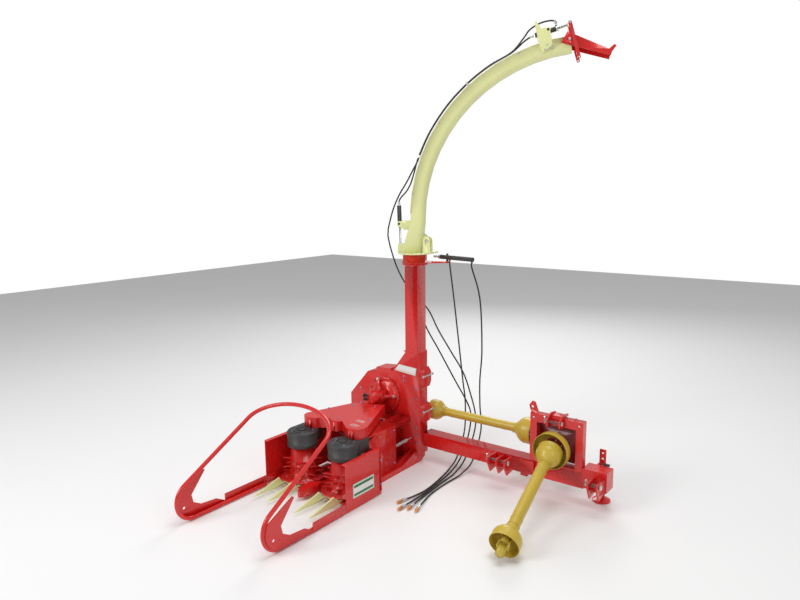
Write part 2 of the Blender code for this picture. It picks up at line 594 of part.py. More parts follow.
# ---- Chopper ------------------------------------------------------------------------------
def build_chopper():
    """Flywheel housing with its right-hand lugs, its rotor, the gear cover, and the gearbox behind."""
    back = CHOPPER_FRONT + CHOPPER_DEPTH
    left, right = CHOPPER_LEFT, CHOPPER_RIGHT
    edge = [(left + 0.080, CHOPPER_FLOOR), (right, CHOPPER_FLOOR), (right, FLARE_TOP),
            (right - COLUMN_SIDE, FLARE_TOP),
            (left + 0.500, CHOPPER_TOP + 0.035), (left + 0.490, CHOPPER_TOP + 0.068),
            (left + 0.320, CHOPPER_TOP + 0.055),
            (left + 0.318, CHOPPER_TOP), (left + 0.216, CHOPPER_TOP), (left, CHOPPER_TOP - 0.245),
            (left, CHOPPER_FLOOR + 0.130)]
    shell = outline(edge, "XZ", CHOPPER_FRONT, back)
    for low, high in ((0.700, 0.880), (0.375, 0.550)):
        lug = outline([(-0.050, low + 0.030), (-0.020, low), (0.070, low), (0.096, low + 0.040),
                       (0.096, high - 0.050),
                       (0.060, high), (-0.020, high), (-0.050, high - 0.030)], "YZ", right - 0.040,
                       right + 0.026)
        join(shell, lug)
    chamber_front = CHOPPER_FRONT + FRONT_WALL
    chamber = rod((ROTOR_X, chamber_front, DRIVE_HEIGHT), (ROTOR_X, back - SHEET, DRIVE_HEIGHT),
                  ROTOR_RADIUS + 0.012, sides=30)
    duct = box((right - COLUMN_SIDE + COLUMN_WALL, CHOPPER_FRONT + COLUMN_WALL, DRIVE_HEIGHT + 0.05),
               (right - COLUMN_WALL, CHOPPER_FRONT + COLUMN_SIDE - COLUMN_WALL, FLARE_TOP + 0.1))
    throat = box((HEADER_MIDDLE - 0.130, CHOPPER_FRONT - 0.1, 0.150),
                 (HEADER_MIDDLE + 0.100, CHOPPER_FRONT + 0.1, 0.330))
    axle = rod((ROTOR_X, back - 0.02, DRIVE_HEIGHT), (ROTOR_X, back + 0.02, DRIVE_HEIGHT), 0.030 + PIN_FIT)
    keep(cut(shell, chamber, duct, throat, axle), "chopper_housing", RED)

    disc_front = chamber_front + RUNNING
    disc_back = back - SHEET - RUNNING
    disc = rod((ROTOR_X, disc_front, DRIVE_HEIGHT), (ROTOR_X, disc_front + 0.018, DRIVE_HEIGHT),
               ROTOR_RADIUS, sides=30)
    hub = rod((ROTOR_X, disc_front, DRIVE_HEIGHT), (ROTOR_X, disc_back, DRIVE_HEIGHT), 0.080)
    stub = rod((ROTOR_X, disc_front, DRIVE_HEIGHT), (ROTOR_X, back - GAP, DRIVE_HEIGHT), 0.030)
    for i in range(6):
        spin = Matrix.Translation((ROTOR_X, 0, DRIVE_HEIGHT)) @ Matrix.Rotation(i * pi / 3, 4, "Y")
        join(disc, moved(box((0.100, disc_front + 0.01, -0.005), (ROTOR_RADIUS - 0.004, disc_back, 0.005)),
                         spin))
    keep(join(disc, hub, stub), "chopper_flywheel", DARK, (ROTOR_X, 0, DRIVE_HEIGHT))

    case = rod((ROTOR_X, back + GAP, DRIVE_HEIGHT), (ROTOR_X, CROSS_SHAFT_Y + 0.110, DRIVE_HEIGHT), 0.105)
    arm = rod((ROTOR_X, CROSS_SHAFT_Y, DRIVE_HEIGHT), (ROTOR_X + 0.200, CROSS_SHAFT_Y, DRIVE_HEIGHT), 0.055)
    keep(join(case, arm), "chopper_gearbox", DARK)

    face = CHOPPER_FRONT - GAP
    cover = rod((COVER_X, face, COVER_Z), (COVER_X, face - 0.020, COVER_Z), 0.172, sides=28)
    dish = rod((COVER_X, face - 0.015, COVER_Z), (COVER_X, face - 0.034, COVER_Z), 0.132, 0.118, 24)
    drive = rod((COVER_X, face - 0.030, COVER_Z), (COVER_X, face - 0.205, COVER_Z), 0.052, 0.044)
    lid = box((COVER_X - 0.055, face - 0.150, COVER_Z - 0.048),
              (COVER_X + 0.055, face - 0.040, COVER_Z + 0.056))
    for across, up in ((-0.045, 0.150), (0.135, 0.010), (-0.120, -0.080)):
        foot = Vector((COVER_X + across, face - 0.018, COVER_Z + up))
        join(cover, rod((COVER_X, face - 0.090, COVER_Z), foot - Vector((0, 0.014, 0)), 0.020, 0.013, 12))
        join(cover, rod(foot, foot - Vector((0, 0.026, 0)), 0.022))
    for lift, side in ((0.024, -0.026), (-0.012, -0.022)):
        knob = Vector((COVER_X + side, face - 0.190, COVER_Z + lift))
        join(cover, rod(knob, knob + Vector((-0.030, -0.060, 0.030)), 0.010, sides=12))
    keep(join(cover, dish, drive, lid), "feed_gear_cover", RED)

    skid = outline([(-0.590, 0.0), (-0.020, 0.0), (back - 0.020, 0.035), (back - 0.020, CHOPPER_FLOOR - GAP),
                    (CHOPPER_FRONT, CHOPPER_FLOOR - GAP), (CHOPPER_FRONT, FEED_LOW - GAP),
                    (-0.590, FEED_LOW - GAP)], "YZ",
                   CHOPPER_RIGHT - 0.560, CHOPPER_RIGHT - 0.015)
    for start, end in ((FEED_RIGHT - 0.052, FEED_RIGHT - 0.040),
                       (CHOPPER_RIGHT - 0.027, CHOPPER_RIGHT - 0.015)):
        gusset = outline([(-0.330, FEED_LOW - 0.01), (CHOPPER_FRONT - GAP, FEED_LOW - 0.01),
                          (CHOPPER_FRONT - GAP, 0.120)], "YZ",
                         start, end)
        join(skid, gusset)
    keep(skid, "chopper_skid", RED)


def build_column():
    """Square chute column, its top ring, and the collar with the slew arm."""
    low = FLARE_TOP + GAP
    left, right = CHOPPER_RIGHT - COLUMN_SIDE, CHOPPER_RIGHT
    front, back = CHOPPER_FRONT, CHOPPER_FRONT + COLUMN_SIDE
    shaft = box((left, front, low), (right, back, COLUMN_TOP))
    flange = rod((COLUMN_X, COLUMN_Y, COLUMN_TOP - 0.002), (COLUMN_X, COLUMN_Y, COLUMN_TOP + RING_THICK),
                 RING_RADIUS)
    foot = box((left - 0.018, front, low), (right, back + 0.018, low + 0.010))
    bore = box((left + COLUMN_WALL, front + COLUMN_WALL, low - 0.1),
               (right - COLUMN_WALL, back - COLUMN_WALL, COLUMN_TOP + 0.1))
    keep(cut(join(shaft, flange, foot), bore), "chute_column", RED)

    base = COLUMN_TOP + RING_THICK + GAP
    collar = rod((COLUMN_X, COLUMN_Y, base), (COLUMN_X, COLUMN_Y, base + COLLAR_HEIGHT),
                 RING_RADIUS - 0.004, sides=8)
    plate = rod((COLUMN_X, COLUMN_Y, base), (COLUMN_X, COLUMN_Y, base + 0.010), RING_RADIUS + 0.006)
    tip = SLEW_TRUNNION
    arm = outline([(COLUMN_X + 0.02, COLUMN_Y + 0.09), (COLUMN_X + 0.09, COLUMN_Y + 0.01),
                   (tip[0] + 0.006, tip[1] - 0.024),
                   (tip[0] + 0.015, tip[1] - 0.006), (tip[0] + 0.006, tip[1] + 0.018),
                   (tip[0] - 0.030, tip[1] + 0.020)],
                  "XY", base, base + 0.010)
    post = rod((tip[0], tip[1], base), (tip[0], tip[1], SLEW_Z - 0.034 - GAP), 0.014)
    mouth = rod((COLUMN_X, COLUMN_Y, base - 0.1), (COLUMN_X, COLUMN_Y, base + 0.2), COLUMN_SIDE / 2 + 0.010)
    keep(cut(join(collar, plate, arm, post), mouth), "column_collar", RED)


# ---- Turntable and spout ------------------------------------------------------------------
SPOUT = Matrix.Translation((COLUMN_X, COLUMN_Y, 0)) @ Matrix.Rotation(SPOUT_TURN, 4, "Z")
SPOUT_ACROSS = SPOUT.to_3x3() @ Vector((0, 1, 0))
SLEW_Z = TURNTABLE_Z - 0.032
SLEW_PORTS = (0.030, 0.288)  # hose ports of the slew cylinder, behind its trunnion
SLEW_EAR = Vector((COLUMN_X + 0.100, COLUMN_Y + 0.170, 0))
SLEW_WAY = Vector((0.98, -0.20, 0)).normalized()
SLEW_TRUNNION = SLEW_EAR + SLEW_WAY * 0.148
def ram(eye, trunnion, across, sizes, names, ports=()):
    """A trunnion-mounted cylinder: its barrel, trunnions and ports, and its rod out to the open eye.

    sizes are the barrel's reach ahead of its trunnion and behind it, the rod's reach into the barrel,
    and the trunnion's half length; ports are (distance behind the trunnion, direction) pairs.
    """
    ahead, behind, inside, half = sizes
    eye, trunnion, across = Vector(eye), Vector(trunnion), Vector(across).normalized()
    along = (trunnion - eye).normalized()
    front, back = trunnion - along * ahead, trunnion + along * behind
    barrel = rod(front, back, BARREL_RADIUS)
    join(barrel, rod(trunnion - across * half, trunnion + across * half, TRUNNION_RADIUS))
    for reach, way in ports:
        join(barrel, rod(trunnion + along * reach, trunnion + along * reach + Vector(way) * PORT_REACH, 0.008))
    bore = rod(front - along * 0.01, back - along * 0.012, PISTON_ROD + ROD_FIT)
    keep(cut(barrel, bore), names[0], BLACK, trunnion)
    stem = rod(eye + along * 0.010, trunnion + along * inside, PISTON_ROD)
    ring = rod(eye - across * 0.009, eye + across * 0.009, 0.017)
    hole = rod(eye - across * 0.03, eye + across * 0.03, 0.009)
    keep(cut(join(stem, ring), hole), names[1], STEEL, eye)


def build_turntable():
    """Turning plate with its slew ear, fold hinge cheeks and fold cylinder lug."""
    base = TURNTABLE_Z
    disc = moved(rod((0, 0, base), (0, 0, base + TURNTABLE_THICK), TURNTABLE_RADIUS, sides=26), SPOUT)
    local = SPOUT.inverted() @ SLEW_EAR
    ear = moved(rod((local.x, local.y, base), (local.x, local.y, base + TURNTABLE_THICK), 0.026), SPOUT)
    web = moved(rod((local.x * 0.55, local.y * 0.55, base),
                    (local.x * 0.55, local.y * 0.55, base + TURNTABLE_THICK), 0.075), SPOUT)
    join(disc, web, ear)
    hinge_half = 0.055
    for side in (-1, 1):
        start = side * hinge_half
        cheek = outline([(FOLD_X - 0.030, base + 0.005), (FOLD_X + 0.036, base + 0.005),
                         *circle(FOLD_X, FOLD_Z, 0.030, 6, 0.0, pi)],
                        "XZ", start, start + side * PLATE,
                        [circle(FOLD_X, FOLD_Z, FOLD_PIN_RADIUS + PIN_FIT, 12)])
        join(disc, moved(cheek, SPOUT))
        start = FOLD_SIDE + side * 0.0125
        lug = outline([(FOLD_LUG[0] - 0.020, base + 0.004), (FOLD_LUG[0] + 0.040, base + 0.004),
                       (FOLD_LUG[0] + 0.020, FOLD_LUG[1] + 0.020),
                       (FOLD_LUG[0] - 0.018, FOLD_LUG[1] + 0.020)], "XZ",
                      start, start + side * 0.008)
        join(disc, moved(lug, SPOUT))
    foot = moved(box((FOLD_LUG[0] - 0.022, FOLD_SIDE - 0.026, base),
                     (FOLD_LUG[0] + 0.100, FOLD_SIDE + 0.026, base + TURNTABLE_THICK)),
                 SPOUT)
    join(disc, foot)
    port = Vector(FOLD_HOSE[0])
    join(disc, rod((port.x, port.y, base + 0.002), (port.x, port.y, port.z + GAP), 0.009))
    mouth = moved(rod((0, 0, base - 0.1), (0, 0, base + 0.1), 0.070), SPOUT)
    cut(disc, mouth)
    keep(disc, "spout_turntable", CREAM, (COLUMN_X, COLUMN_Y, base))
    pin = moved(rod((FOLD_X, -hinge_half - PLATE - 0.008, FOLD_Z),
                    (FOLD_X, hinge_half + PLATE + 0.008, FOLD_Z), FOLD_PIN_RADIUS), SPOUT)
    keep(pin, "fold_hinge_pin", STEEL, SPOUT @ Vector((FOLD_X, 0, FOLD_Z)))


def section(half, depth, corner, offset=0.0):
    """Spout section as (across, depth) points: a flat outer face and rounded inner edges."""
    near = [(-half + corner * (1 - cos(i * pi / 6)), depth - corner * (1 - sin(i * pi / 6))) for i in range(4)]
    side = [(-half, 0.0), *near]
    return [(across, reach + offset) for across, reach in side + [(-across, reach) for across,
                                                                  reach in reversed(side)]]


def spout_rings(wall):
    """Rings of the spout from its foot to its tip, drawn in by wall."""
    base = TURNTABLE_Z + TURNTABLE_THICK + 0.003
    bottom, end = (base - 0.010, ARC_END - 0.020) if wall else (base, ARC_END)
    foot = section(0.085 - wall, 0.165 - 2 * wall, 0.024, wall)
    body = section(ARC_WIDTH / 2 - wall, ARC_DEPTH - 2 * wall, ARC_ROUND, wall)
    rings = [[(-0.105 + reach, across, bottom) for across, reach in foot],
             [(ARC_CENTRE - ARC_OUTER + reach, across, ARC_HEIGHT - 0.030) for across, reach in body]]
    for i in range(ARC_STEPS + 1):
        angle = pi + (end - pi) * i / ARC_STEPS
        rings.append([(ARC_CENTRE + (ARC_OUTER - reach) * cos(angle), across,
                       ARC_HEIGHT + (ARC_OUTER - reach) * sin(angle))
                      for across, reach in body])
    return rings


def build_spout():
    """Hinged foot and curved spout, open at both ends, with its rims, knuckles and cylinder brackets."""
    half = ARC_WIDTH / 2
    left = ARC_CENTRE - ARC_OUTER
    spout = loft(spout_rings(0.0))
    strip = [(-half - 0.006, -0.004), (-half - 0.006, 0.003), (half + 0.006, 0.003), (half + 0.006, -0.004)]
    rim = []
    for i in range(ARC_STEPS + 1):
        angle = radians(178) + (ARC_END - radians(178) - 0.001) * i / ARC_STEPS
        rim.append([(ARC_CENTRE + (ARC_OUTER - reach) * cos(angle), across,
                     ARC_HEIGHT + (ARC_OUTER - reach) * sin(angle))
                    for across, reach in strip])
    join(spout, loft(rim))
    for edge in (-1, 1):
        knuckle = outline([(0.030, FOLD_Z - 0.055), *circle(FOLD_X, FOLD_Z, 0.027, 8, radians(-70),
                                                            radians(150)), (0.055, FOLD_Z + 0.075),
                           (0.030, FOLD_Z + 0.075)], "XZ", edge * 0.030, edge * 0.052)
        start = FOLD_SIDE + edge * 0.0245
        cheek = outline([(left - 0.020, 2.105), (left - 0.020, 2.180),
                         (FOLD_TRUNNION[0] - 0.010, FOLD_TRUNNION[1] + 0.022),
                         (FOLD_TRUNNION[0] - 0.018, FOLD_TRUNNION[1] - 0.016), (left - 0.080, 2.095)], "XZ",
                        start, start + edge * 0.009)
        start = edge * (half - 0.002)
        bracket = outline([(1.054, 3.494), (1.018, 3.580), (0.985, 3.733), (1.000, 3.736), (1.036, 3.680),
                           *circle(*RAM_TRUNNION, 0.019, 6, radians(120), radians(-150)), (1.128, 3.560),
                           (1.141, 3.525)], "XZ",
                          start, start + edge * 0.009)
        join(spout, knuckle, cheek, bracket)
    bridge = box((left - 0.066, 0.050, 2.108), (left + 0.020, FOLD_SIDE + 0.0335, 2.176))
    axle = rod((HOOD_X, -HOOD_HALF - 0.010, HOOD_Z), (HOOD_X, HOOD_HALF + 0.010, HOOD_Z), 0.0065)
    join(spout, bridge, axle)
    inside = loft(spout_rings(ARC_WALL))
    hole = rod((FOLD_X, -0.08, FOLD_Z), (FOLD_X, 0.08, FOLD_Z), FOLD_PIN_RADIUS + PIN_FIT)
    sockets = rod((FOLD_TRUNNION[0], 0.0, FOLD_TRUNNION[1]), (FOLD_TRUNNION[0], 0.2, FOLD_TRUNNION[1]),
                  TRUNNION_RADIUS + PIN_FIT)
    ram_hole = rod((RAM_TRUNNION[0], -0.1, RAM_TRUNNION[1]), (RAM_TRUNNION[0], 0.1, RAM_TRUNNION[1]),
                   TRUNNION_RADIUS + PIN_FIT)
    cut(spout, inside, hole, sockets, ram_hole)
    keep(moved_with_helpers(spout, SPOUT), "spout_arc", CREAM, SPOUT @ Vector((FOLD_X, 0, FOLD_Z)))


def moved_with_helpers(made, matrix):
    """Carry a shape and every helper its Booleans use."""
    for step in made.modifiers:
        step.object.data.transform(matrix)
    return moved(made, matrix)


def build_hood():
    """Discharge hood on the spout's tip, with its levers, and its cylinder."""
    def at(along, up):
        """A point of the hood's side, measured from its hinge."""
        return HOOD_X + along, HOOD_Z + up

    top = outline([at(-0.018, 0.051), at(0.318, -0.105), at(0.321, -0.100), at(-0.016, 0.057)], "XZ",
                  -HOOD_HALF + 0.001, HOOD_HALF - 0.001)
    for edge in (-1, 1):
        wall = outline([at(-0.064, -0.024), at(-0.019, 0.058), at(0.322, -0.100), at(0.312, -0.138),
                        at(0.006, -0.047)], "XZ",
                       edge * (HOOD_HALF - 0.005), edge * HOOD_HALF,
                       [circle(HOOD_X, HOOD_Z, 0.0065 + PIN_FIT, 10)])
        foot_x, foot_z = at(0.074, -0.136)
        lever = outline([*circle(*RAM_EYE, 0.014, 4, 0.0, pi), *circle(foot_x, foot_z, 0.014, 4, pi, pi)], "XZ",
                        edge * (HOOD_HALF - 0.001), edge * (HOOD_HALF + 0.005),
                        [circle(foot_x, foot_z, 0.006, 8)])
        stub = rod((RAM_EYE[0], edge * 0.0115, RAM_EYE[1]), (RAM_EYE[0], edge * (HOOD_HALF + 0.012),
                                                             RAM_EYE[1]), 0.0075)
        slot = rod((HOOD_X, edge * 0.07, HOOD_Z), (HOOD_X, edge * 0.11, HOOD_Z), 0.0065 + PIN_FIT)
        join(top, wall, lever, stub)
        cut(top, slot)
    tab = outline([at(0.290, -0.092), at(0.322, -0.106), at(0.352, -0.066), at(0.334, -0.056)], "XZ",
                  -HOOD_HALF, -HOOD_HALF + 0.005)
    join(top, tab)
    keep(moved_with_helpers(top, SPOUT), "deflector_hood", RED, SPOUT @ Vector((HOOD_X, 0, HOOD_Z)))

    eye = SPOUT @ Vector((RAM_EYE[0], 0, RAM_EYE[1]))
    seat = SPOUT @ Vector((RAM_TRUNNION[0], 0, RAM_TRUNNION[1]))
    ram(eye, seat, SPOUT_ACROSS, (0.080, 0.105, 0.024, 0.070),
        ("deflector_cylinder_barrel", "deflector_cylinder_rod"),
        [(-0.062, (0, 0, 1))])


def build_spout_rams():
    """Slew cylinder beside the turntable and fold cylinder beside the spout's foot."""
    ear = Vector((SLEW_EAR.x, SLEW_EAR.y, SLEW_Z))
    trunnion = Vector((SLEW_TRUNNION.x, SLEW_TRUNNION.y, SLEW_Z))
    down = (0, 0, -1)
    ram(ear, trunnion, (0, 0, 1), (0.095, 0.300, 0.255, 0.034), ("slew_cylinder_barrel", "slew_cylinder_rod"),
        [(SLEW_PORTS[0], down), (SLEW_PORTS[1], down)])
    lug = SPOUT @ Vector((FOLD_LUG[0], FOLD_SIDE, FOLD_LUG[1]))
    seat = SPOUT @ Vector((FOLD_TRUNNION[0], FOLD_SIDE, FOLD_TRUNNION[1]))
    ram(lug, seat, SPOUT_ACROSS, (0.025, 0.160, 0.146, 0.034), ("fold_cylinder_barrel", "fold_cylinder_rod"))


# ---- Hoses --------------------------------------------------------------------------------
LOWER_CLAMP = radians(158.9)  # clamps of the held hoses, round the spout's bend
UPPER_CLAMP = radians(130.7)
LOOP_JOINT = (-2.1290, 0.0750, 2.0670)
LOOP_WAY = Vector((-0.181, 0.133, -0.974)).normalized()
LOOP_UPPER = [(-1.800, 0.004, 2.600), (-1.875, 0.018, 2.505), (-1.966, 0.032, 2.400), (-2.052, 0.050, 2.267)]
LOOP_LOWER = [(-2.127, 0.112, 1.901), (-2.092, 0.155, 1.732), (-2.033, 0.205, 1.582), (-1.945, 0.265, 1.455),
              (-1.840, 0.300, 1.336), (-1.749, 0.320, 1.162), (-1.619, 0.330, 0.976), (-1.490, 0.340, 0.793),
              (-1.420, 0.350, 0.613), (-1.348, 0.330, 0.414), (-1.325, 0.270, 0.270), (-1.325, 0.130, 0.085),
              (-1.305, -0.060, 0.020), (-1.296, -0.304, 0.0078), (-1.280, -0.520, 0.0078),
              (-1.262, -0.680, 0.0130),
              (-1.252, -0.760, 0.0145)]
FOLD_HOSE = [(-1.8027, 0.1094, 1.8743), (-1.8027, 0.1094, 1.840), (-1.830, 0.190, 1.600),
             (-1.862, 0.230, 1.400),
             (-1.848, 0.245, 1.220), (-1.723, 0.295, 0.973), (-1.580, 0.345, 0.701), (-1.469, 0.375, 0.506),
             (-1.425, 0.375, 0.390), (-1.395, 0.290, 0.235), (-1.376, 0.130, 0.075), (-1.350, -0.060, 0.018),
             (-1.322, -0.300, 0.0078), (-1.302, -0.500, 0.0078), (-1.294, -0.700, 0.0130),
             (-1.294, -0.810, 0.0145)]
SLEW_HOSE_FRONT = [(-1.500, 0.200, 1.496), (-1.488, 0.260, 1.106), (-1.462, 0.295, 0.725),
                   (-1.449, 0.315, 0.533),
                   (-1.430, 0.275, 0.270), (-1.415, 0.130, 0.070), (-1.385, -0.060, 0.016),
                   (-1.345, -0.300, 0.0078),
                   (-1.325, -0.500, 0.0078), (-1.335, -0.650, 0.0130), (-1.350, -0.725, 0.0145)]
SLEW_HOSE_REAR = [(-1.216, 0.170, 1.510), (-1.246, 0.260, 1.049), (-1.305, 0.330, 0.751),
                  (-1.335, 0.385, 0.502),
                  (-1.290, 0.330, 0.287), (-1.250, 0.130, 0.080), (-1.245, -0.060, 0.020),
                  (-1.262, -0.300, 0.0078),
                  (-1.252, -0.520, 0.0078), (-1.215, -0.680, 0.0130), (-1.195, -0.755, 0.0145)]
HOSE_STEP = 0.042            # between points of a free hose
HELD_STEP = 0.048            # and of a held one


def hose(name, route):
    """A free hose along a route."""
    keep(tube(smooth_line(route, HOSE_STEP), HOSE_RADIUS), name, HOSE, route[0])


def coupler(name, route):
    """A quick coupler with its dust cap, on a hose's end on the ground."""
    before, end = smooth_line(route, HOSE_STEP)[-2:]
    way = Vector((end.x - before.x, end.y - before.y, 0)).normalized()
    body = rod(end + way * GAP, end + way * 0.050, COUPLER_RADIUS)
    cap = rod(end + way * 0.048, end + way * 0.095, COUPLER_RADIUS - 0.002)
    keep(join(body, cap), name, COPPER, end)


def on_bend(angle, across, along=0.0):
    """A point of the held hoses' line, along it by a short way, in the spout's own frame."""
    return Vector((ARC_CENTRE + HOSE_LINE * cos(angle) - along * sin(angle), across,
                   ARC_HEIGHT + HOSE_LINE * sin(angle) + along * cos(angle)))


def slew_port(which):
    """Start and second point of the hose on one port of the slew cylinder."""
    port = SLEW_TRUNNION + SLEW_WAY * SLEW_PORTS[which]
    top = SLEW_Z - PORT_REACH - GAP
    return [(port.x, port.y, top), (port.x, port.y + 0.002, top - 0.040)]


def build_hoses():
    """Free hoses from the spout, turntable and slew cylinder to their couplers, and the held pair on the spout."""
    spread = HOSE_RADIUS + 0.0025
    joint = Vector(LOOP_JOINT)
    upper = [SPOUT @ on_bend(LOWER_CLAMP, spread, reach) for reach in (0.014 + 3 * GAP, 0.044)]
    lower = [joint + LOOP_WAY * GAP, joint + LOOP_WAY * 0.040, *LOOP_LOWER]
    front, rear = slew_port(0) + SLEW_HOSE_FRONT, slew_port(1) + SLEW_HOSE_REAR
    hose("loop_hose_upper", [*upper, *LOOP_UPPER, joint - LOOP_WAY * 0.040, joint])
    for name, route in (("loop", lower), ("fold", FOLD_HOSE), ("slew_front", front), ("slew_rear", rear)):
        hose(name + "_hose", route)
        coupler(name + "_coupler", route)

    curved = [radians(114), radians(122), UPPER_CLAMP, radians(140), radians(150), LOWER_CLAMP]
    near = [(0.9780, 0.001, 3.6420), (0.950, 0.006, 3.6340), (0.900, spread, 3.603),
            *(on_bend(a, spread) for a in curved),
            on_bend(LOWER_CLAMP, spread, 0.014)]
    far = [(1.1505, 0.0, 3.7242), (1.1505, 0.0, 3.740), (1.110, -0.004, 3.750), (1.030, -0.010, 3.735),
           (0.948, -spread, 3.690),
           (0.900, -spread, 3.628), *(on_bend(a, -spread) for a in curved), (0.004, -0.009, 2.600),
           (-0.030, -0.002, 2.500),
           (-0.078, 0.036, 2.430), (-0.128, 0.083, 2.388), (-0.157, 0.104, 2.350), (-0.158, 0.105, 2.3150)]
    pair = tube(smooth_line(near, HELD_STEP), HOSE_RADIUS)
    join(pair, tube(smooth_line(far, HELD_STEP), HOSE_RADIUS))
    for angle in (UPPER_CLAMP, LOWER_CLAMP):
        out = Vector((cos(angle), 0, sin(angle)))
        middle = Vector((ARC_CENTRE, 0, ARC_HEIGHT)) + out * (ARC_OUTER + 0.0265)
        turn = Vector((0, 0, 1)).rotation_difference(out).to_matrix().to_4x4()
        join(pair, moved(box((-0.010, -0.022, -0.0222), (0.010, 0.022, 0.0165)),
                         Matrix.Translation(middle) @ turn))
    keep(moved_with_helpers(pair, SPOUT), "spout_hoses", HOSE, SPOUT @ Vector((FOLD_X, 0, FOLD_Z)))


# ---- Header -------------------------------------------------------------------------------
def side_plate(name, outer_face, inwards):
    """Sheet side of the header with a flanged top edge."""
    start, end = sorted((outer_face, outer_face + inwards * SHEET))
    sheet = outline([(PLATE_FRONT, 0.004), (PLATE_FRONT, PLATE_TOP), (PLATE_REAR, PLATE_TOP),
                     (PLATE_REAR, 0.012),
                     (PLATE_REAR - 0.10, 0.004)], "YZ", start, end)
    flange_end = outer_face + inwards * 0.040
    low, high = sorted((outer_face, flange_end))
    flange = box((low, PLATE_FRONT, PLATE_TOP - SHEET), (high, PLATE_REAR, PLATE_TOP))
    keep(join(sheet, flange), name, RED)


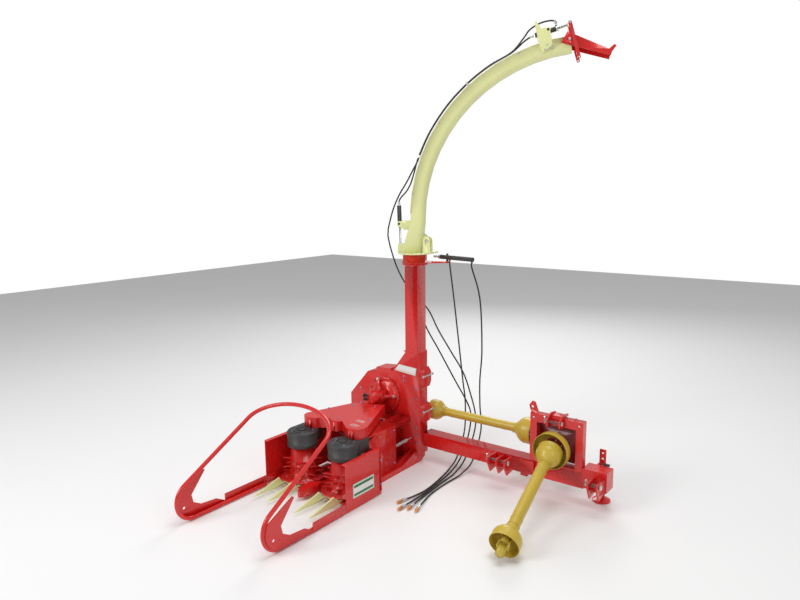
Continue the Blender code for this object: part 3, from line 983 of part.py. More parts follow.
def build_header():
    """Header floor, side plates, feed housing with its rollers, centre divider and drive cover."""
    left, right = PLATE_OUTER + SHEET + GAP, PLATE_INNER - SHEET - GAP
    floor = outline([(left, FEED_MOUTH - SHEET), (left, -1.080), (HEADER_MIDDLE - 0.13, -1.080),
                     (HEADER_MIDDLE - 0.05, -1.000),
                     (HEADER_MIDDLE + 0.05, -1.000), (HEADER_MIDDLE + 0.13, -1.080), (right, -1.080),
                     (right, FEED_MOUTH - SHEET),
                     (FEED_RIGHT - 0.010, FEED_MOUTH - SHEET), (FEED_RIGHT - 0.010, -0.60),
                     (FEED_LEFT + 0.010, -0.60),
                     (FEED_LEFT + 0.010, FEED_MOUTH - SHEET)], "XY", 0.004, 0.030)
    back_left = box((left, FEED_MOUTH - SHEET, 0.02), (FEED_LEFT - GAP, FEED_MOUTH, 0.360))
    back_right = box((FEED_RIGHT + GAP, FEED_MOUTH - SHEET, 0.02), (right, FEED_MOUTH, 0.360))
    for side in (-1, 1):
        post_x = HEADER_MIDDLE + side * DRUM_SPREAD / 2
        join(floor, rod((post_x, DRUM_Y, 0.010), (post_x, DRUM_Y, DRUM_LOW - RUNNING), 0.060))
    keep(join(floor, back_left, back_right), "header_floor", RED)
    side_plate("header_inner_side", PLATE_INNER, -1)
    side_plate("header_outer_side", PLATE_OUTER, 1)

    back = CHOPPER_FRONT - GAP
    front = -0.600 + GAP
    body = outline([(FEED_LEFT, front), (FEED_RIGHT, front), (FEED_RIGHT, BAY_Y), (BAY_X, BAY_Y),
                    (BAY_X, back), (FEED_LEFT, back)], "XY",
                   FEED_LOW, FEED_TOP)
    rail = box((BAY_X - 0.010, BAY_Y - 0.010, FEED_TOP - 0.060), (FEED_RIGHT - 0.040, back, FEED_TOP - 0.010))
    join(body, rail)
    tunnel = box((FEED_LEFT + 0.10, front - 0.1, FEED_LOW + 0.015),
                 (ROLLER_RIGHT, back + 0.1, FEED_TOP - 0.010))
    cheek = outline([(FEED_MOUTH, FEED_LOW), (front + 0.01, FEED_LOW), (front + 0.01, FEED_TOP),
                     (FEED_MOUTH, FEED_TOP - 0.050)], "YZ",
                    FEED_RIGHT - 0.010, FEED_RIGHT)
    cheek_left = outline([(FEED_MOUTH, FEED_LOW), (front + 0.01, FEED_LOW), (front + 0.01, FEED_TOP),
                          (FEED_MOUTH, FEED_TOP - 0.050)], "YZ",
                         FEED_LEFT, FEED_LEFT + 0.010)
    roof = box((FEED_LEFT, FEED_MOUTH + 0.02, FEED_TOP - 0.010), (FEED_RIGHT, front + 0.01, FEED_TOP))
    relief = box((COVER_X - 0.175, -0.340, COVER_Z - 0.172 - RUNNING),
                 (COVER_X + 0.175, back + 0.1, FEED_TOP + 0.1))
    keep(join(cut(body, tunnel, relief), cheek, cheek_left, roof), "feed_housing", RED)
    for name, y, z in (("upper_feed_roller", -0.480, 0.345), ("lower_feed_roller", -0.480, 0.145)):
        roller = rod((FEED_LEFT + 0.10 + RUNNING, y, z), (ROLLER_RIGHT - RUNNING, y, z), ROLLER_RADIUS - 0.010)
        for i in range(6):
            turn = Matrix.Translation((0, y, z)) @ Matrix.Rotation(i * pi / 3, 4, "X")
            join(roller, moved(box((FEED_LEFT + 0.10 + RUNNING, -0.004, 0),
                                   (ROLLER_RIGHT - RUNNING, 0.004, ROLLER_RADIUS)), turn))
        for start, end in ((FEED_LEFT + 0.10 + GAP, FEED_LEFT + 0.13),
                           (ROLLER_RIGHT - 0.03, ROLLER_RIGHT - GAP)):
            join(roller, rod((start, y, z), (end, y, z), 0.020))
        keep(roller, name, STEEL, (HEADER_MIDDLE, y, z))

    nose_side = [(0.012, -1.235), (0.045, -1.150), (0.046, -1.060), (0.030, -1.000)]
    nose = outline([(HEADER_MIDDLE - across, y) for across, y in reversed(nose_side)]
                   + [(HEADER_MIDDLE + across, y) for across, y in nose_side], "XY", 0.030 + GAP, 0.090)
    lower = tapered((-0.030, -1.215), (0.030, -0.93), (-0.040, -1.18), (0.040, -0.93), 0.030 + GAP, 0.050)
    keep(join(nose, moved(lower, Matrix.Translation((HEADER_MIDDLE, 0, 0)))), "centre_divider", RED)

    low, high = COVER_LOW, COVER_LOW + COVER_THICK
    outer_x, inner_x = HEADER_MIDDLE - DRUM_SPREAD / 2, HEADER_MIDDLE + DRUM_SPREAD / 2
    lobe_y = DRUM_Y + 0.155
    edge = [(-2.215, -0.360), (-1.945, -0.240)]
    edge += circle(inner_x + 0.010, lobe_y, 0.092, 8, radians(20), radians(-160))
    edge += circle(HEADER_MIDDLE + 0.005, lobe_y + 0.030, 0.060, 8, radians(-10), radians(-160))
    edge += circle(outer_x, lobe_y, 0.092, 8, radians(-20), radians(-160))
    strut = box((HEADER_MIDDLE - 0.110, -0.640, FEED_TOP + GAP), (HEADER_MIDDLE + 0.090, -0.380, low + 0.010))
    keep(join(outline(edge, "XY", low, high), strut), "drum_drive_cover", RED)


def build_drums():
    """Gathering drums with their tine rings and cutter discs, under capped arms."""
    for name, side in (("outer", -1), ("inner", 1)):
        x = HEADER_MIDDLE + side * DRUM_SPREAD / 2
        core = rod((x, DRUM_Y, DRUM_LOW), (x, DRUM_Y, DRUM_HIGH), DRUM_RADIUS, DRUM_RADIUS - 0.016, 24)
        disc = rod((x, DRUM_Y, DRUM_LOW - 0.001), (x, DRUM_Y, DRUM_LOW + 0.006), TINE_RADIUS + 0.010, sides=24)
        join(core, disc)
        for i, z in enumerate((0.100, 0.155, 0.210)):
            star = []
            for tooth in range(8):
                base = pi / 4 * (tooth + 0.5 * (i % 2))
                star.append((x + 0.110 * cos(base), DRUM_Y + 0.110 * sin(base)))
                star.append((x + 0.118 * cos(base + 0.45), DRUM_Y + 0.118 * sin(base + 0.45)))
                tip = base + (0.62 if side < 0 else 0.10)
                star.append((x + (TINE_RADIUS - 0.004 * i) * cos(tip),
                             DRUM_Y + (TINE_RADIUS - 0.004 * i) * sin(tip)))
                if side > 0:
                    star[-1], star[-2] = star[-2], star[-1]
            join(core, outline(star, "XY", z, z + 0.007))
        keep(core, name + "_gathering_drum", RED, (x, DRUM_Y, 0))
        low = DRUM_HIGH + RUNNING
        high = COVER_LOW - GAP
        cap = rod((x, DRUM_Y, low), (x, DRUM_Y, high - 0.014), CAP_RADIUS - 0.012, CAP_RADIUS, 26)
        brow = rod((x, DRUM_Y, high - 0.014), (x, DRUM_Y, high), CAP_RADIUS, CAP_RADIUS - 0.010, 26)
        hem = rod((x, DRUM_Y, low + 0.002), (x, DRUM_Y, low + 0.016), CAP_RADIUS - 0.006, sides=26)
        arm_end = -0.765 - GAP
        lean = 0.030 * side
        arm = outline([(x - 0.118, DRUM_Y), (x + 0.118, DRUM_Y), (x + lean + 0.085, arm_end),
                       (x + lean - 0.085, arm_end)],
                      "XY", low + 0.03, high)
        spindle = rod((x, DRUM_Y, low - RUNNING + GAP), (x, DRUM_Y, low + 0.002), 0.040)
        keep(join(cap, brow, hem, arm, spindle), name + "_drum_cap", BLACK)


def build_fingers():
    """A pair of pointed stalk lifters ahead of each cutter disc."""
    for name, side in (("outer", -1), ("inner", 1)):
        middle = HEADER_MIDDLE + side * DRUM_SPREAD / 2 + 0.005
        bar = box((middle - 0.085, -1.110, 0.030 + GAP), (middle + 0.085, -1.060, 0.048))
        for edge in (-1, 1):
            x = middle + edge * 0.077
            blade = outline([(-1.435, 0.030), (-1.150, 0.012), (-1.085, 0.030 + 2 * GAP), (-1.085, 0.0475),
                             (-1.140, 0.050), (-1.165, 0.095)], "YZ",
                            x - 0.007, x + 0.007)
            join(bar, blade)
        keep(bar, name + "_lifter_fingers", CREAM)


def build_dividers():
    """Nose gussets of both dividers, and the hoop tube that runs round both noses and arches over the header."""
    for name, face, inwards, nose_y in (("outer", PLATE_OUTER, 1, OUTER_NOSE_Y),
                                        ("inner", PLATE_INNER, -1, INNER_NOSE_Y)):
        start, end = sorted((face, face + inwards * 0.008))
        centre_z = NOSE_BEND + HOOP_RADIUS
        rim = circle(nose_y, centre_z, NOSE_BEND - 0.004, 12, radians(-90), radians(-215 + 90))
        gusset = outline([(nose_y + 0.330, 0.010), *rim, (nose_y + 0.110, 0.360), (nose_y + 0.125, 0.345),
                          (nose_y - 0.005, 0.190),
                          (nose_y + 0.010, 0.125), (nose_y + 0.080, 0.085), (nose_y + 0.220, 0.072)], "YZ",
                          start, end,
                         [circle(nose_y - 0.075, 0.110, 0.012, 12)])
        tab_low, tab_high = sorted((face + inwards * (SHEET + GAP), face + inwards * 0.022))
        rail = box((start, nose_y + 0.300, 0.006), (end, PLATE_FRONT - GAP, 0.080))
        tab = box((tab_low, PLATE_FRONT - 0.02, 0.034), (tab_high, PLATE_FRONT + 0.10, 0.080))
        keep(join(gusset, rail, tab), name + "_divider", RED)
    left = PLATE_OUTER + 0.008 + GAP + HOOP_RADIUS
    right = PLATE_INNER - 0.008 - GAP - HOOP_RADIUS
    path = [(left, HOOP_FOOT_Y, HOOP_RADIUS), *nose(left, OUTER_NOSE_Y)]
    middle, half = (left + right) / 2, (right - left) / 2
    for i in range(11):
        angle = pi * i / 10
        path.append((middle - half * cos(angle), ARCH_Y + 0.215 * sin(angle), ARCH_Z + 0.130 * sin(angle)))
    path += [*reversed(nose(right, INNER_NOSE_Y)), (right, HOOP_FOOT_Y, HOOP_RADIUS)]
    keep(tube(path, HOOP_RADIUS), "crop_hoop", RED)


def nose(x, nose_y):
    """The hoop's bend round a divider's nose, from the ground to the tangent of its slope."""
    centre_z = NOSE_BEND + HOOP_RADIUS
    reach = hypot(ARCH_Y - nose_y, ARCH_Z - centre_z)
    leave = atan2(ARCH_Z - centre_z, ARCH_Y - nose_y) + acos(NOSE_BEND / reach)
    return [(x, across, up) for across, up in circle(nose_y, centre_z, NOSE_BEND, 7, radians(-90),
                                                     leave - 2 * pi + radians(90))]


# ---- Parking stand ------------------------------------------------------------------------
def build_stand():
    """Perforated flat leg with a dished foot."""
    leg = box((STAND_X - STAND_WIDTH / 2, STAND_Y - STAND_THICK / 2, 0.020),
              (STAND_X + STAND_WIDTH / 2, STAND_Y + STAND_THICK / 2, STAND_TOP))
    for i in range(7):
        z = STAND_TOP - 0.030 - 0.045 * i
        cut(leg, rod((STAND_X, STAND_Y - 0.05, z), (STAND_X, STAND_Y + 0.05, z), 0.009, sides=12))
    foot = turned([(0.0, 0.030), (0.030, 0.028), (FOOT_RADIUS, 0.012), (FOOT_RADIUS, 0.0), (0.0, 0.0)],
                  (STAND_X, STAND_Y, 0), (0, 0, 1), 20)
    keep(join(leg, foot), "parking_stand", RED, (STAND_X, STAND_Y, 0))


build_toolbar()
build_headstock()
hitch_bracket("outer", OUTER_HITCH_PLATES, -0.600)
hitch_bracket("inner", INNER_HITCH_PLATES, -0.012)
build_headstock_drive()
build_input_shaft()
build_cross_shaft()
build_chopper()
build_column()
build_turntable()
build_spout()
build_hood()
build_spout_rams()
build_hoses()
build_header()
build_drums()
build_fingers()
build_dividers()
build_stand()
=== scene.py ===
"""A side-mounted two-drum forage harvester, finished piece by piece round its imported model."""
import json
from math import atan2, cos, pi, radians, sin

import bmesh
import bpy
import numpy as np
from mathutils import Matrix, Vector


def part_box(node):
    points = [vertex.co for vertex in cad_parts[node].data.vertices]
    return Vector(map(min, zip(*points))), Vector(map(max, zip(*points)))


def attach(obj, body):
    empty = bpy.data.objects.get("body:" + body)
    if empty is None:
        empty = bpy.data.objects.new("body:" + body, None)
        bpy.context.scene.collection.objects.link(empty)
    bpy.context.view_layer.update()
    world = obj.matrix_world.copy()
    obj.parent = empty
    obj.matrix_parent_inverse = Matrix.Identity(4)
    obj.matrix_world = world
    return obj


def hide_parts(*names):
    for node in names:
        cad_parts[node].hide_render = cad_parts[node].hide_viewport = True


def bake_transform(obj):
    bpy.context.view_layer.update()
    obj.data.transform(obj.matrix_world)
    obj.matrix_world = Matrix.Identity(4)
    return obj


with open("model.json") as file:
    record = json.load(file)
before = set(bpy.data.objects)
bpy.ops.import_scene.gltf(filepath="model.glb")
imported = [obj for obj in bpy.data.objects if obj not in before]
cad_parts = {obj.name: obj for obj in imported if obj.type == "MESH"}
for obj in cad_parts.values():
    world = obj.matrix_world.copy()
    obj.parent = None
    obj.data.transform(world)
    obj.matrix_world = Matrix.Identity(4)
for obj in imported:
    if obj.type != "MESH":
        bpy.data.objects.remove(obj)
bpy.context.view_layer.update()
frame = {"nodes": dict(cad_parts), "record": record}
scene = bpy.context.scene

# ---- Camera -------------------------------------------------------------------------------
# A camera at head height, a few metres off the header's inner front corner, looking slightly down.
AZIMUTH, ELEVATION, ROLL = radians(37.4735), radians(9.3665), radians(-0.66779)
TOOLBAR = np.array([1.2475, 0.6692, 0.0])        # the toolbar's inner front corner, on the ground
EYE = np.array([1.644, -4.683, 2.440]) + TOOLBAR
FOCAL = 0.830425                                 # focal length, in sensor widths
back = Vector((sin(AZIMUTH) * cos(ELEVATION), -cos(AZIMUTH) * cos(ELEVATION), sin(ELEVATION)))
level = (-back).cross(Vector((0, 0, 1))).normalized()
upright = level.cross(-back)
rolled = cos(ROLL) * level + sin(ROLL) * upright
risen = cos(ROLL) * upright - sin(ROLL) * level
camera = bpy.data.objects.new("camera", bpy.data.cameras.new("camera"))
pose = Matrix((rolled, risen, back)).transposed().to_4x4()
pose.translation = Vector(EYE)
camera.matrix_world = pose
camera.data.sensor_width = 36
camera.data.lens = FOCAL * camera.data.sensor_width
scene.collection.objects.link(camera)
scene.camera = camera


# ---- Hoses and couplers -------------------------------------------------------------------
# Black two-wire hydraulic hose, 13 mm across, crimped to the cylinders' ports. Four tails run to the
# ground and end in quick couplers under copper-coloured dust caps.
class Wire:
    """A node socket that turns arithmetic on it into Math nodes, and adds any other node."""

    def __init__(self, tree, socket=None):
        self.tree, self.socket = tree, socket

    def node(self, kind, settings=(), values=(), out=0):
        """Add a node: its settings first, then the values or wires of its sockets."""
        made = self.tree.nodes.new(kind)
        for name, value in dict(settings).items():
            if name == "stops":
                for stop, (place, colour) in zip(made.color_ramp.elements, value):
                    stop.position, stop.color = place, colour
            else:
                setattr(made, name, value)
        for name, value in dict(values).items():
            if isinstance(value, Wire):
                self.tree.links.new(value.socket, made.inputs[name])
            else:
                made.inputs[name].default_value = value
        return Wire(self.tree, made.outputs[out])

    def math(self, operation, first, second):
        """A Math node on two values or wires."""
        return self.node("ShaderNodeMath", {"operation": operation}, {0: first, 1: second})

    def __add__(self, other):
        return self.math("ADD", self, other)

    def __radd__(self, other):
        return self.math("ADD", other, self)

    def __sub__(self, other):
        return self.math("SUBTRACT", self, other)

    def __rsub__(self, other):
        return self.math("SUBTRACT", other, self)

    def __mul__(self, other):
        return self.math("MULTIPLY", self, other)

    def __rmul__(self, other):
        return self.math("MULTIPLY", other, self)

    def __gt__(self, other):
        return self.math("GREATER_THAN", self, other)


def shade(name, metallic=0.0, coat=0.0, coat_roughness=0.1):
    """A new material: itself, its shader's sockets, a wire to add nodes with, and its Object coordinates."""
    made = bpy.data.materials.new(name)
    made.use_nodes = True
    shader = made.node_tree.nodes["Principled BSDF"]
    shader.inputs["Metallic"].default_value = metallic
    shader.inputs["Coat Weight"].default_value = coat
    shader.inputs["Coat Roughness"].default_value = coat_roughness
    wire = Wire(made.node_tree)
    return made, shader.inputs, wire, wire.node("ShaderNodeTexCoord", out="Object")


def feed(wire, sockets, **links):
    """Link wires to the shader's sockets, whose names are given with underscores."""
    for name, value in links.items():
        wire.tree.links.new(value.socket, sockets[name.replace("_", " ")])


def noise(wire, place, scale, detail=2.0, distortion=0.0):
    """Noise between 0 and 1 over a place."""
    values = {"Vector": place, "Scale": scale, "Detail": detail, "Distortion": distortion}
    return wire.node("ShaderNodeTexNoise", (), values)


def tint(wire, share, dark, light):
    """A colour between two, by share."""
    return wire.node("ShaderNodeMix", {"data_type": "RGBA"}, {0: share, 6: (*dark, 1), 7: (*light, 1)}, 2)


def relief(wire, height, strength, distance, edge=0.0015):
    """A normal from a height, over edges rounded by a small radius."""
    rounded = wire.node("ShaderNodeBevel", {"samples": 4}, {"Radius": edge})
    return wire.node("ShaderNodeBump", (), {"Strength": strength, "Distance": distance, "Height": height,
                                            "Normal": rounded})


def rubber(name, grey, shine=0.42):
    """Black rubber or moulded plastic: a fine grain and faint pale scuffs."""
    made, sockets, wire, place = shade(name)
    grain = noise(wire, place, 700.0, 3.0)
    scuff = noise(wire, place, 14.0, 6.0)
    feed(wire, sockets, Base_Color=tint(wire, scuff, (grey * 0.7,) * 3, (grey * 1.5,) * 3),
         Roughness=scuff * 0.22 + shine, Normal=relief(wire, grain, 0.25, 0.0006))
    return made


def metal(name, colour, roughness):
    """Zinc-plated or ground metal: a fine brushed grain and slightly duller patches."""
    made, sockets, wire, place = shade(name, metallic=0.9)
    patch = noise(wire, place, 30.0, 4.0)
    grain = noise(wire, place, 900.0, 2.0)
    low = tuple(c * 0.75 for c in colour)
    feed(wire, sockets, Base_Color=tint(wire, patch, low, colour), Roughness=patch * 0.22 + roughness,
         Normal=relief(wire, grain, 0.12, 0.0004, 0.0008))
    return made


def quads(rows, columns, wrap_rows=False, wrap_columns=True):
    """Faces of a rows-by-columns grid of points, joined end to start where it wraps."""
    row = np.arange(rows if wrap_rows else rows - 1)[:, None]
    column = np.arange(columns if wrap_columns else columns - 1)[None, :]
    after_row, after = (row + 1) % rows, (column + 1) % columns
    corners = (row * columns + column, row * columns + after, after_row * columns + after,
               after_row * columns + column)
    return np.stack(np.broadcast_arrays(*corners), -1).reshape(-1, 4)


def turned(profile, start, along, sides=32):
    """A profile of (radius, height) turned round a line.

    A point is start + height * along + radius * (cos t * u + sin t * v).
    """
    along = np.array(along, float) / np.linalg.norm(along)
    aside = np.cross(along, (0.0, 0.0, 1.0) if abs(along[2]) < 0.9 else (1.0, 0.0, 0.0))
    aside /= np.linalg.norm(aside)
    third = np.cross(along, aside)
    turn = np.linspace(0, 2 * pi, sides, endpoint=False)
    radius, height = np.array(profile, float).T
    ring = np.cos(turn)[:, None] * aside + np.sin(turn)[:, None] * third
    points = np.array(start, float) + height[:, None, None] * along + radius[:, None, None] * ring
    return points.reshape(-1, 3), quads(len(radius), sides)


def swept(path, radius, sides=12, closed=False):
    """A round tube along a path: point + radius * (cos t * n + sin t * b).

    The normal n turns as little as it can along the path.
    """
    path = np.array(path, float)
    tangent = np.roll(path, -1, 0) - np.roll(path, 1, 0) if closed else np.gradient(path, axis=0)
    tangent /= np.linalg.norm(tangent, axis=1)[:, None]
    normal = [np.cross(tangent[0], np.eye(3)[int(np.argmin(np.abs(tangent[0])))])]
    for way in tangent[1:]:
        normal.append(normal[-1] - way * np.dot(normal[-1], way))
        normal[-1] = normal[-1] / np.linalg.norm(normal[-1])
    normal[0] = normal[0] / np.linalg.norm(normal[0])
    normal = np.array(normal)
    third = np.cross(tangent, normal)
    turn = np.linspace(0, 2 * pi, sides, endpoint=False)
    ring = np.cos(turn)[None, :, None] * normal[:, None] + np.sin(turn)[None, :, None] * third[:, None]
    points = path[:, None] + radius * ring
    if closed:
        return points.reshape(-1, 3), quads(len(path), sides, True)
    ends = np.repeat(path[[0, -1]][:, None], sides, 1)
    points = np.concatenate([ends[:1], points, ends[1:]])
    return points.reshape(-1, 3), quads(len(points), sides)


def slab(low, high):
    """A block between two corners, as an eight-point grid."""
    low, high = np.array(low, float), np.array(high, float)
    corner = np.array([(0, 0), (1, 0), (1, 1), (0, 1)], float)
    base = np.column_stack([low[0] + corner[:, 0] * (high - low)[0], low[1] + corner[:, 1] * (high - low)[1]])
    points = np.concatenate([np.column_stack([base, np.full(4, low[2])]),
                             np.column_stack([base, np.full(4, high[2])])])
    return points, np.array([(0, 3, 2, 1), (4, 5, 6, 7), (0, 1, 5, 4), (1, 2, 6, 5), (2, 3, 7, 6),
                             (3, 0, 4, 7)])


def piece(name, shapes, material, body, smooth=35.0):
    """One object from several (points, faces) shapes, welded, facing outwards and riding on a body."""
    mesh = bpy.data.meshes.new(name)
    counts = np.cumsum([0] + [len(points) for points, _ in shapes])
    points = np.concatenate([points for points, _ in shapes])
    faces = np.concatenate([faces + count for (_, faces), count in zip(shapes, counts)])
    mesh.from_pydata(points.tolist(), [], faces.tolist())
    shape = bmesh.new()
    shape.from_mesh(mesh)
    bmesh.ops.remove_doubles(shape, verts=shape.verts, dist=0.00001)
    bmesh.ops.dissolve_degenerate(shape, edges=shape.edges, dist=0.000005)
    bmesh.ops.recalc_face_normals(shape, faces=shape.faces)
    shape.to_mesh(mesh)
    shape.free()
    mesh.shade_smooth()
    mesh.set_sharp_from_angle(angle=radians(smooth))
    mesh.materials.append(material)
    made = bpy.data.objects.new(name, mesh)
    scene.collection.objects.link(made)
    if body:
        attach(made, body)
    return made


def cleaned(node, material, smooth=32.0):
    """A welded, smooth-shaded copy of a CAD node, standing for it."""
    source = frame["nodes"][node]
    mesh = source.data.copy()
    mesh.name = node + "_finished"
    shape = bmesh.new()
    shape.from_mesh(mesh)
    bmesh.ops.remove_doubles(shape, verts=shape.verts, dist=0.00002)
    shape.to_mesh(mesh)
    shape.free()
    mesh.shade_smooth()
    mesh.set_sharp_from_angle(angle=radians(smooth))
    mesh.materials.clear()
    mesh.materials.append(material)
    made = bpy.data.objects.new(node + "_finished", mesh)
    scene.collection.objects.link(made)
    body = next(name for name, nodes in frame["record"]["behaviour"]["bodies"].items() if node in nodes)
    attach(made, body)
    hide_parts(node)
    return made


HOSE_RADIUS = 0.0065
HOSE_STEP = 0.042
SEAT = 0.0003
COLUMN = TOOLBAR + (-1.765, -0.015, 0.0)         # axis of the chute column
SPOUT_TURN = radians(25)
ALONG = np.array([cos(SPOUT_TURN), sin(SPOUT_TURN), 0.0])
ACROSS = np.array([-sin(SPOUT_TURN), cos(SPOUT_TURN), 0.0])
BEND_CENTRE, BEND_HEIGHT, BEND_RADIUS = 1.395, 2.200, 1.418
HOSE_LINE = 1.450
LOWER_CLAMP, UPPER_CLAMP = radians(158.9), radians(130.7)
SLEW_WAY = np.array([0.98, -0.20, 0.0]) / np.hypot(0.98, 0.20)
SLEW_TRUNNION = COLUMN + np.array([0.100, 0.170, 1.8626]) + SLEW_WAY * 0.148
HOSE_TOP = 1.8323


def on_spout(point):
    """A point given along the discharge, across it and up, in the machine's frame."""
    along, across, height = point
    return COLUMN + along * ALONG + across * ACROSS + (0.0, 0.0, height)


def on_bend(angle, across, further=0.0):
    """A point on the held hoses' line round the spout's bend."""
    return on_spout((BEND_CENTRE + HOSE_LINE * cos(angle) - further * sin(angle), across,
                     BEND_HEIGHT + HOSE_LINE * sin(angle) + further * cos(angle)))


def smooth_line(corners, step):
    """Points a step apart on a Catmull-Rom curve through the corners b, s, e and a.

    A point is s + t/2 (e - b) + t^2 (b - 5/2 s + 2e - a/2) + t^3 (3/2 s - b/2 - 3/2 e + a/2).
    """
    corners = np.array(corners, float)
    corners = np.concatenate([[2 * corners[0] - corners[1]], corners, [2 * corners[-1] - corners[-2]]])
    before, start, end, after = (corners[i:len(corners) - 3 + i, None] for i in range(4))
    t = (np.arange(12) / 12)[None, :, None]
    fine = (start + t / 2 * (end - before) + t * t * (before - 2.5 * start + 2 * end - after / 2)
            + t ** 3 * (1.5 * start - before / 2 - 1.5 * end + after / 2)).reshape(-1, 3)
    fine = np.concatenate([fine, corners[-2:-1]])
    walked = np.concatenate([[0.0], np.cumsum(np.linalg.norm(np.diff(fine, axis=0), axis=1))])
    places = np.linspace(0, walked[-1], round(walked[-1] / step) + 1)
    return np.column_stack([np.interp(places, walked, fine[:, i]) for i in range(3)]), walked[-1]


def hose(name, route):
    """A hose as a swept round tube along a smooth curve through its route, its points, and its length."""
    line, length = smooth_line(route, HOSE_STEP / 3)
    made = piece(name, [swept(line, HOSE_RADIUS, 14)], HOSE_RUBBER, None, 60)
    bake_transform(made)
    return made, line, length


HOSE_RUBBER = rubber("hose_rubber", 0.014)
COPPER = metal("coupler_copper", (0.86, 0.40, 0.17), 0.28)
ZINC = metal("zinc_plate", (0.80, 0.81, 0.82), 0.20)
joint = TOOLBAR + (-2.1290, 0.0750, 2.0670)
loop_way = np.array([-0.181, 0.133, -0.974]) / np.linalg.norm([-0.181, 0.133, -0.974])
spread = HOSE_RADIUS + 0.0025
LOOP_UPPER = TOOLBAR + [(-1.800, 0.004, 2.600), (-1.875, 0.018, 2.505), (-1.966, 0.032, 2.400),
                        (-2.052, 0.050, 2.267)]
LOOP_LOWER = TOOLBAR + [(-2.127, 0.112, 1.901), (-2.092, 0.155, 1.732), (-2.033, 0.205, 1.582),
                        (-1.945, 0.265, 1.455),
                        (-1.840, 0.300, 1.336), (-1.749, 0.320, 1.162), (-1.619, 0.330, 0.976),
                        (-1.490, 0.340, 0.793),
                        (-1.420, 0.350, 0.613), (-1.348, 0.330, 0.414), (-1.325, 0.270, 0.270),
                        (-1.325, 0.130, 0.085),
                        (-1.305, -0.060, 0.020), (-1.296, -0.304, 0.0078), (-1.280, -0.520, 0.0078),
                        (-1.262, -0.680, 0.0130),
                        (-1.252, -0.760, 0.0145)]
FOLD_HOSE = TOOLBAR + [(-1.8027, 0.1094, 1.8743), (-1.8027, 0.1094, 1.840), (-1.830, 0.190, 1.600),
                       (-1.862, 0.230, 1.400),
                       (-1.848, 0.245, 1.220), (-1.723, 0.295, 0.973), (-1.580, 0.345, 0.701),
                       (-1.469, 0.375, 0.506),
                       (-1.425, 0.375, 0.390), (-1.395, 0.290, 0.235), (-1.376, 0.130, 0.075),
                       (-1.350, -0.060, 0.018),
                       (-1.322, -0.300, 0.0078), (-1.302, -0.500, 0.0078), (-1.294, -0.700, 0.0130),
                       (-1.294, -0.810, 0.0145)]
SLEW_FRONT = TOOLBAR + [(-1.500, 0.200, 1.496), (-1.488, 0.260, 1.106), (-1.462, 0.295, 0.725),
                        (-1.449, 0.315, 0.533),
                        (-1.430, 0.275, 0.270), (-1.415, 0.130, 0.070), (-1.385, -0.060, 0.016),
                        (-1.345, -0.300, 0.0078),
                        (-1.325, -0.500, 0.0078), (-1.335, -0.650, 0.0130), (-1.350, -0.725, 0.0145)]
SLEW_REAR = TOOLBAR + [(-1.216, 0.170, 1.510), (-1.246, 0.260, 1.049), (-1.305, 0.330, 0.751),
                       (-1.335, 0.385, 0.502),
                       (-1.290, 0.330, 0.287), (-1.250, 0.130, 0.080), (-1.245, -0.060, 0.020),
                       (-1.262, -0.300, 0.0078),
                       (-1.252, -0.520, 0.0078), (-1.215, -0.680, 0.0130), (-1.195, -0.755, 0.0145)]


def from_port(reach, route):
    """A route from one port of the slew cylinder, down a little and then along the given points."""
    port = SLEW_TRUNNION + SLEW_WAY * reach
    return np.concatenate([[(port[0], port[1], HOSE_TOP), (port[0], port[1] + 0.002, HOSE_TOP - 0.040)],
                           route])


upper = np.concatenate([[on_bend(LOWER_CLAMP, spread, reach) for reach in (0.014 + 3 * SEAT, 0.044)],
                        LOOP_UPPER,
                        [joint - loop_way * 0.040, joint]])
top_loop, line, length = hose("loop_hose_upper_rubber", upper)
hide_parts("loop_hose_upper")
tuple(line[0])

COUPLER_PROFILE = [(0.0, SEAT), (0.0100, SEAT), (0.0118, 0.002), (0.0118, 0.012), (0.0095, 0.013),
                   (0.0095, 0.018), (0.0138, 0.019),
                   (0.0138, 0.027), (0.0128, 0.028), (0.0138, 0.029), (0.0138, 0.036), (0.0100, 0.038),
                   (0.0100, 0.048), (0.0, 0.048)]
CAP_PROFILE = [(0.0, 0.045), (0.0122, 0.045), (0.0130, 0.047), (0.0130, 0.072), (0.0112, 0.074),
               (0.0112, 0.080), (0.0120, 0.082),
               (0.0112, 0.092), (0.0070, 0.096), (0.0, 0.0965)]
tails = (("loop", np.concatenate([[joint + loop_way * SEAT, joint + loop_way * 0.040], LOOP_LOWER]),
          "spout_base"),
         ("fold", FOLD_HOSE, "spout_base"),
         ("slew_front", from_port(0.030, SLEW_FRONT), "slew_barrel"),
         ("slew_rear", from_port(0.288, SLEW_REAR), "slew_barrel"))
for name, route, upper_body in tails:
    tail, line, length = hose(name + "_hose_rubber", route)
    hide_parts(name + "_hose")
    coarse = smooth_line(route, HOSE_STEP)[0]
    way = (coarse[-1] - coarse[-2]) * (1, 1, 0)
    way /= np.linalg.norm(way)
    plug = piece(name + "_coupler_steel", [turned(COUPLER_PROFILE, route[-1], way, 24)], ZINC, "root")
    cap = piece(name + "_coupler_cap", [turned(CAP_PROFILE, route[-1], way, 24)], COPPER, "root")
    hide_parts(name + "_coupler")
    tuple(line[0])

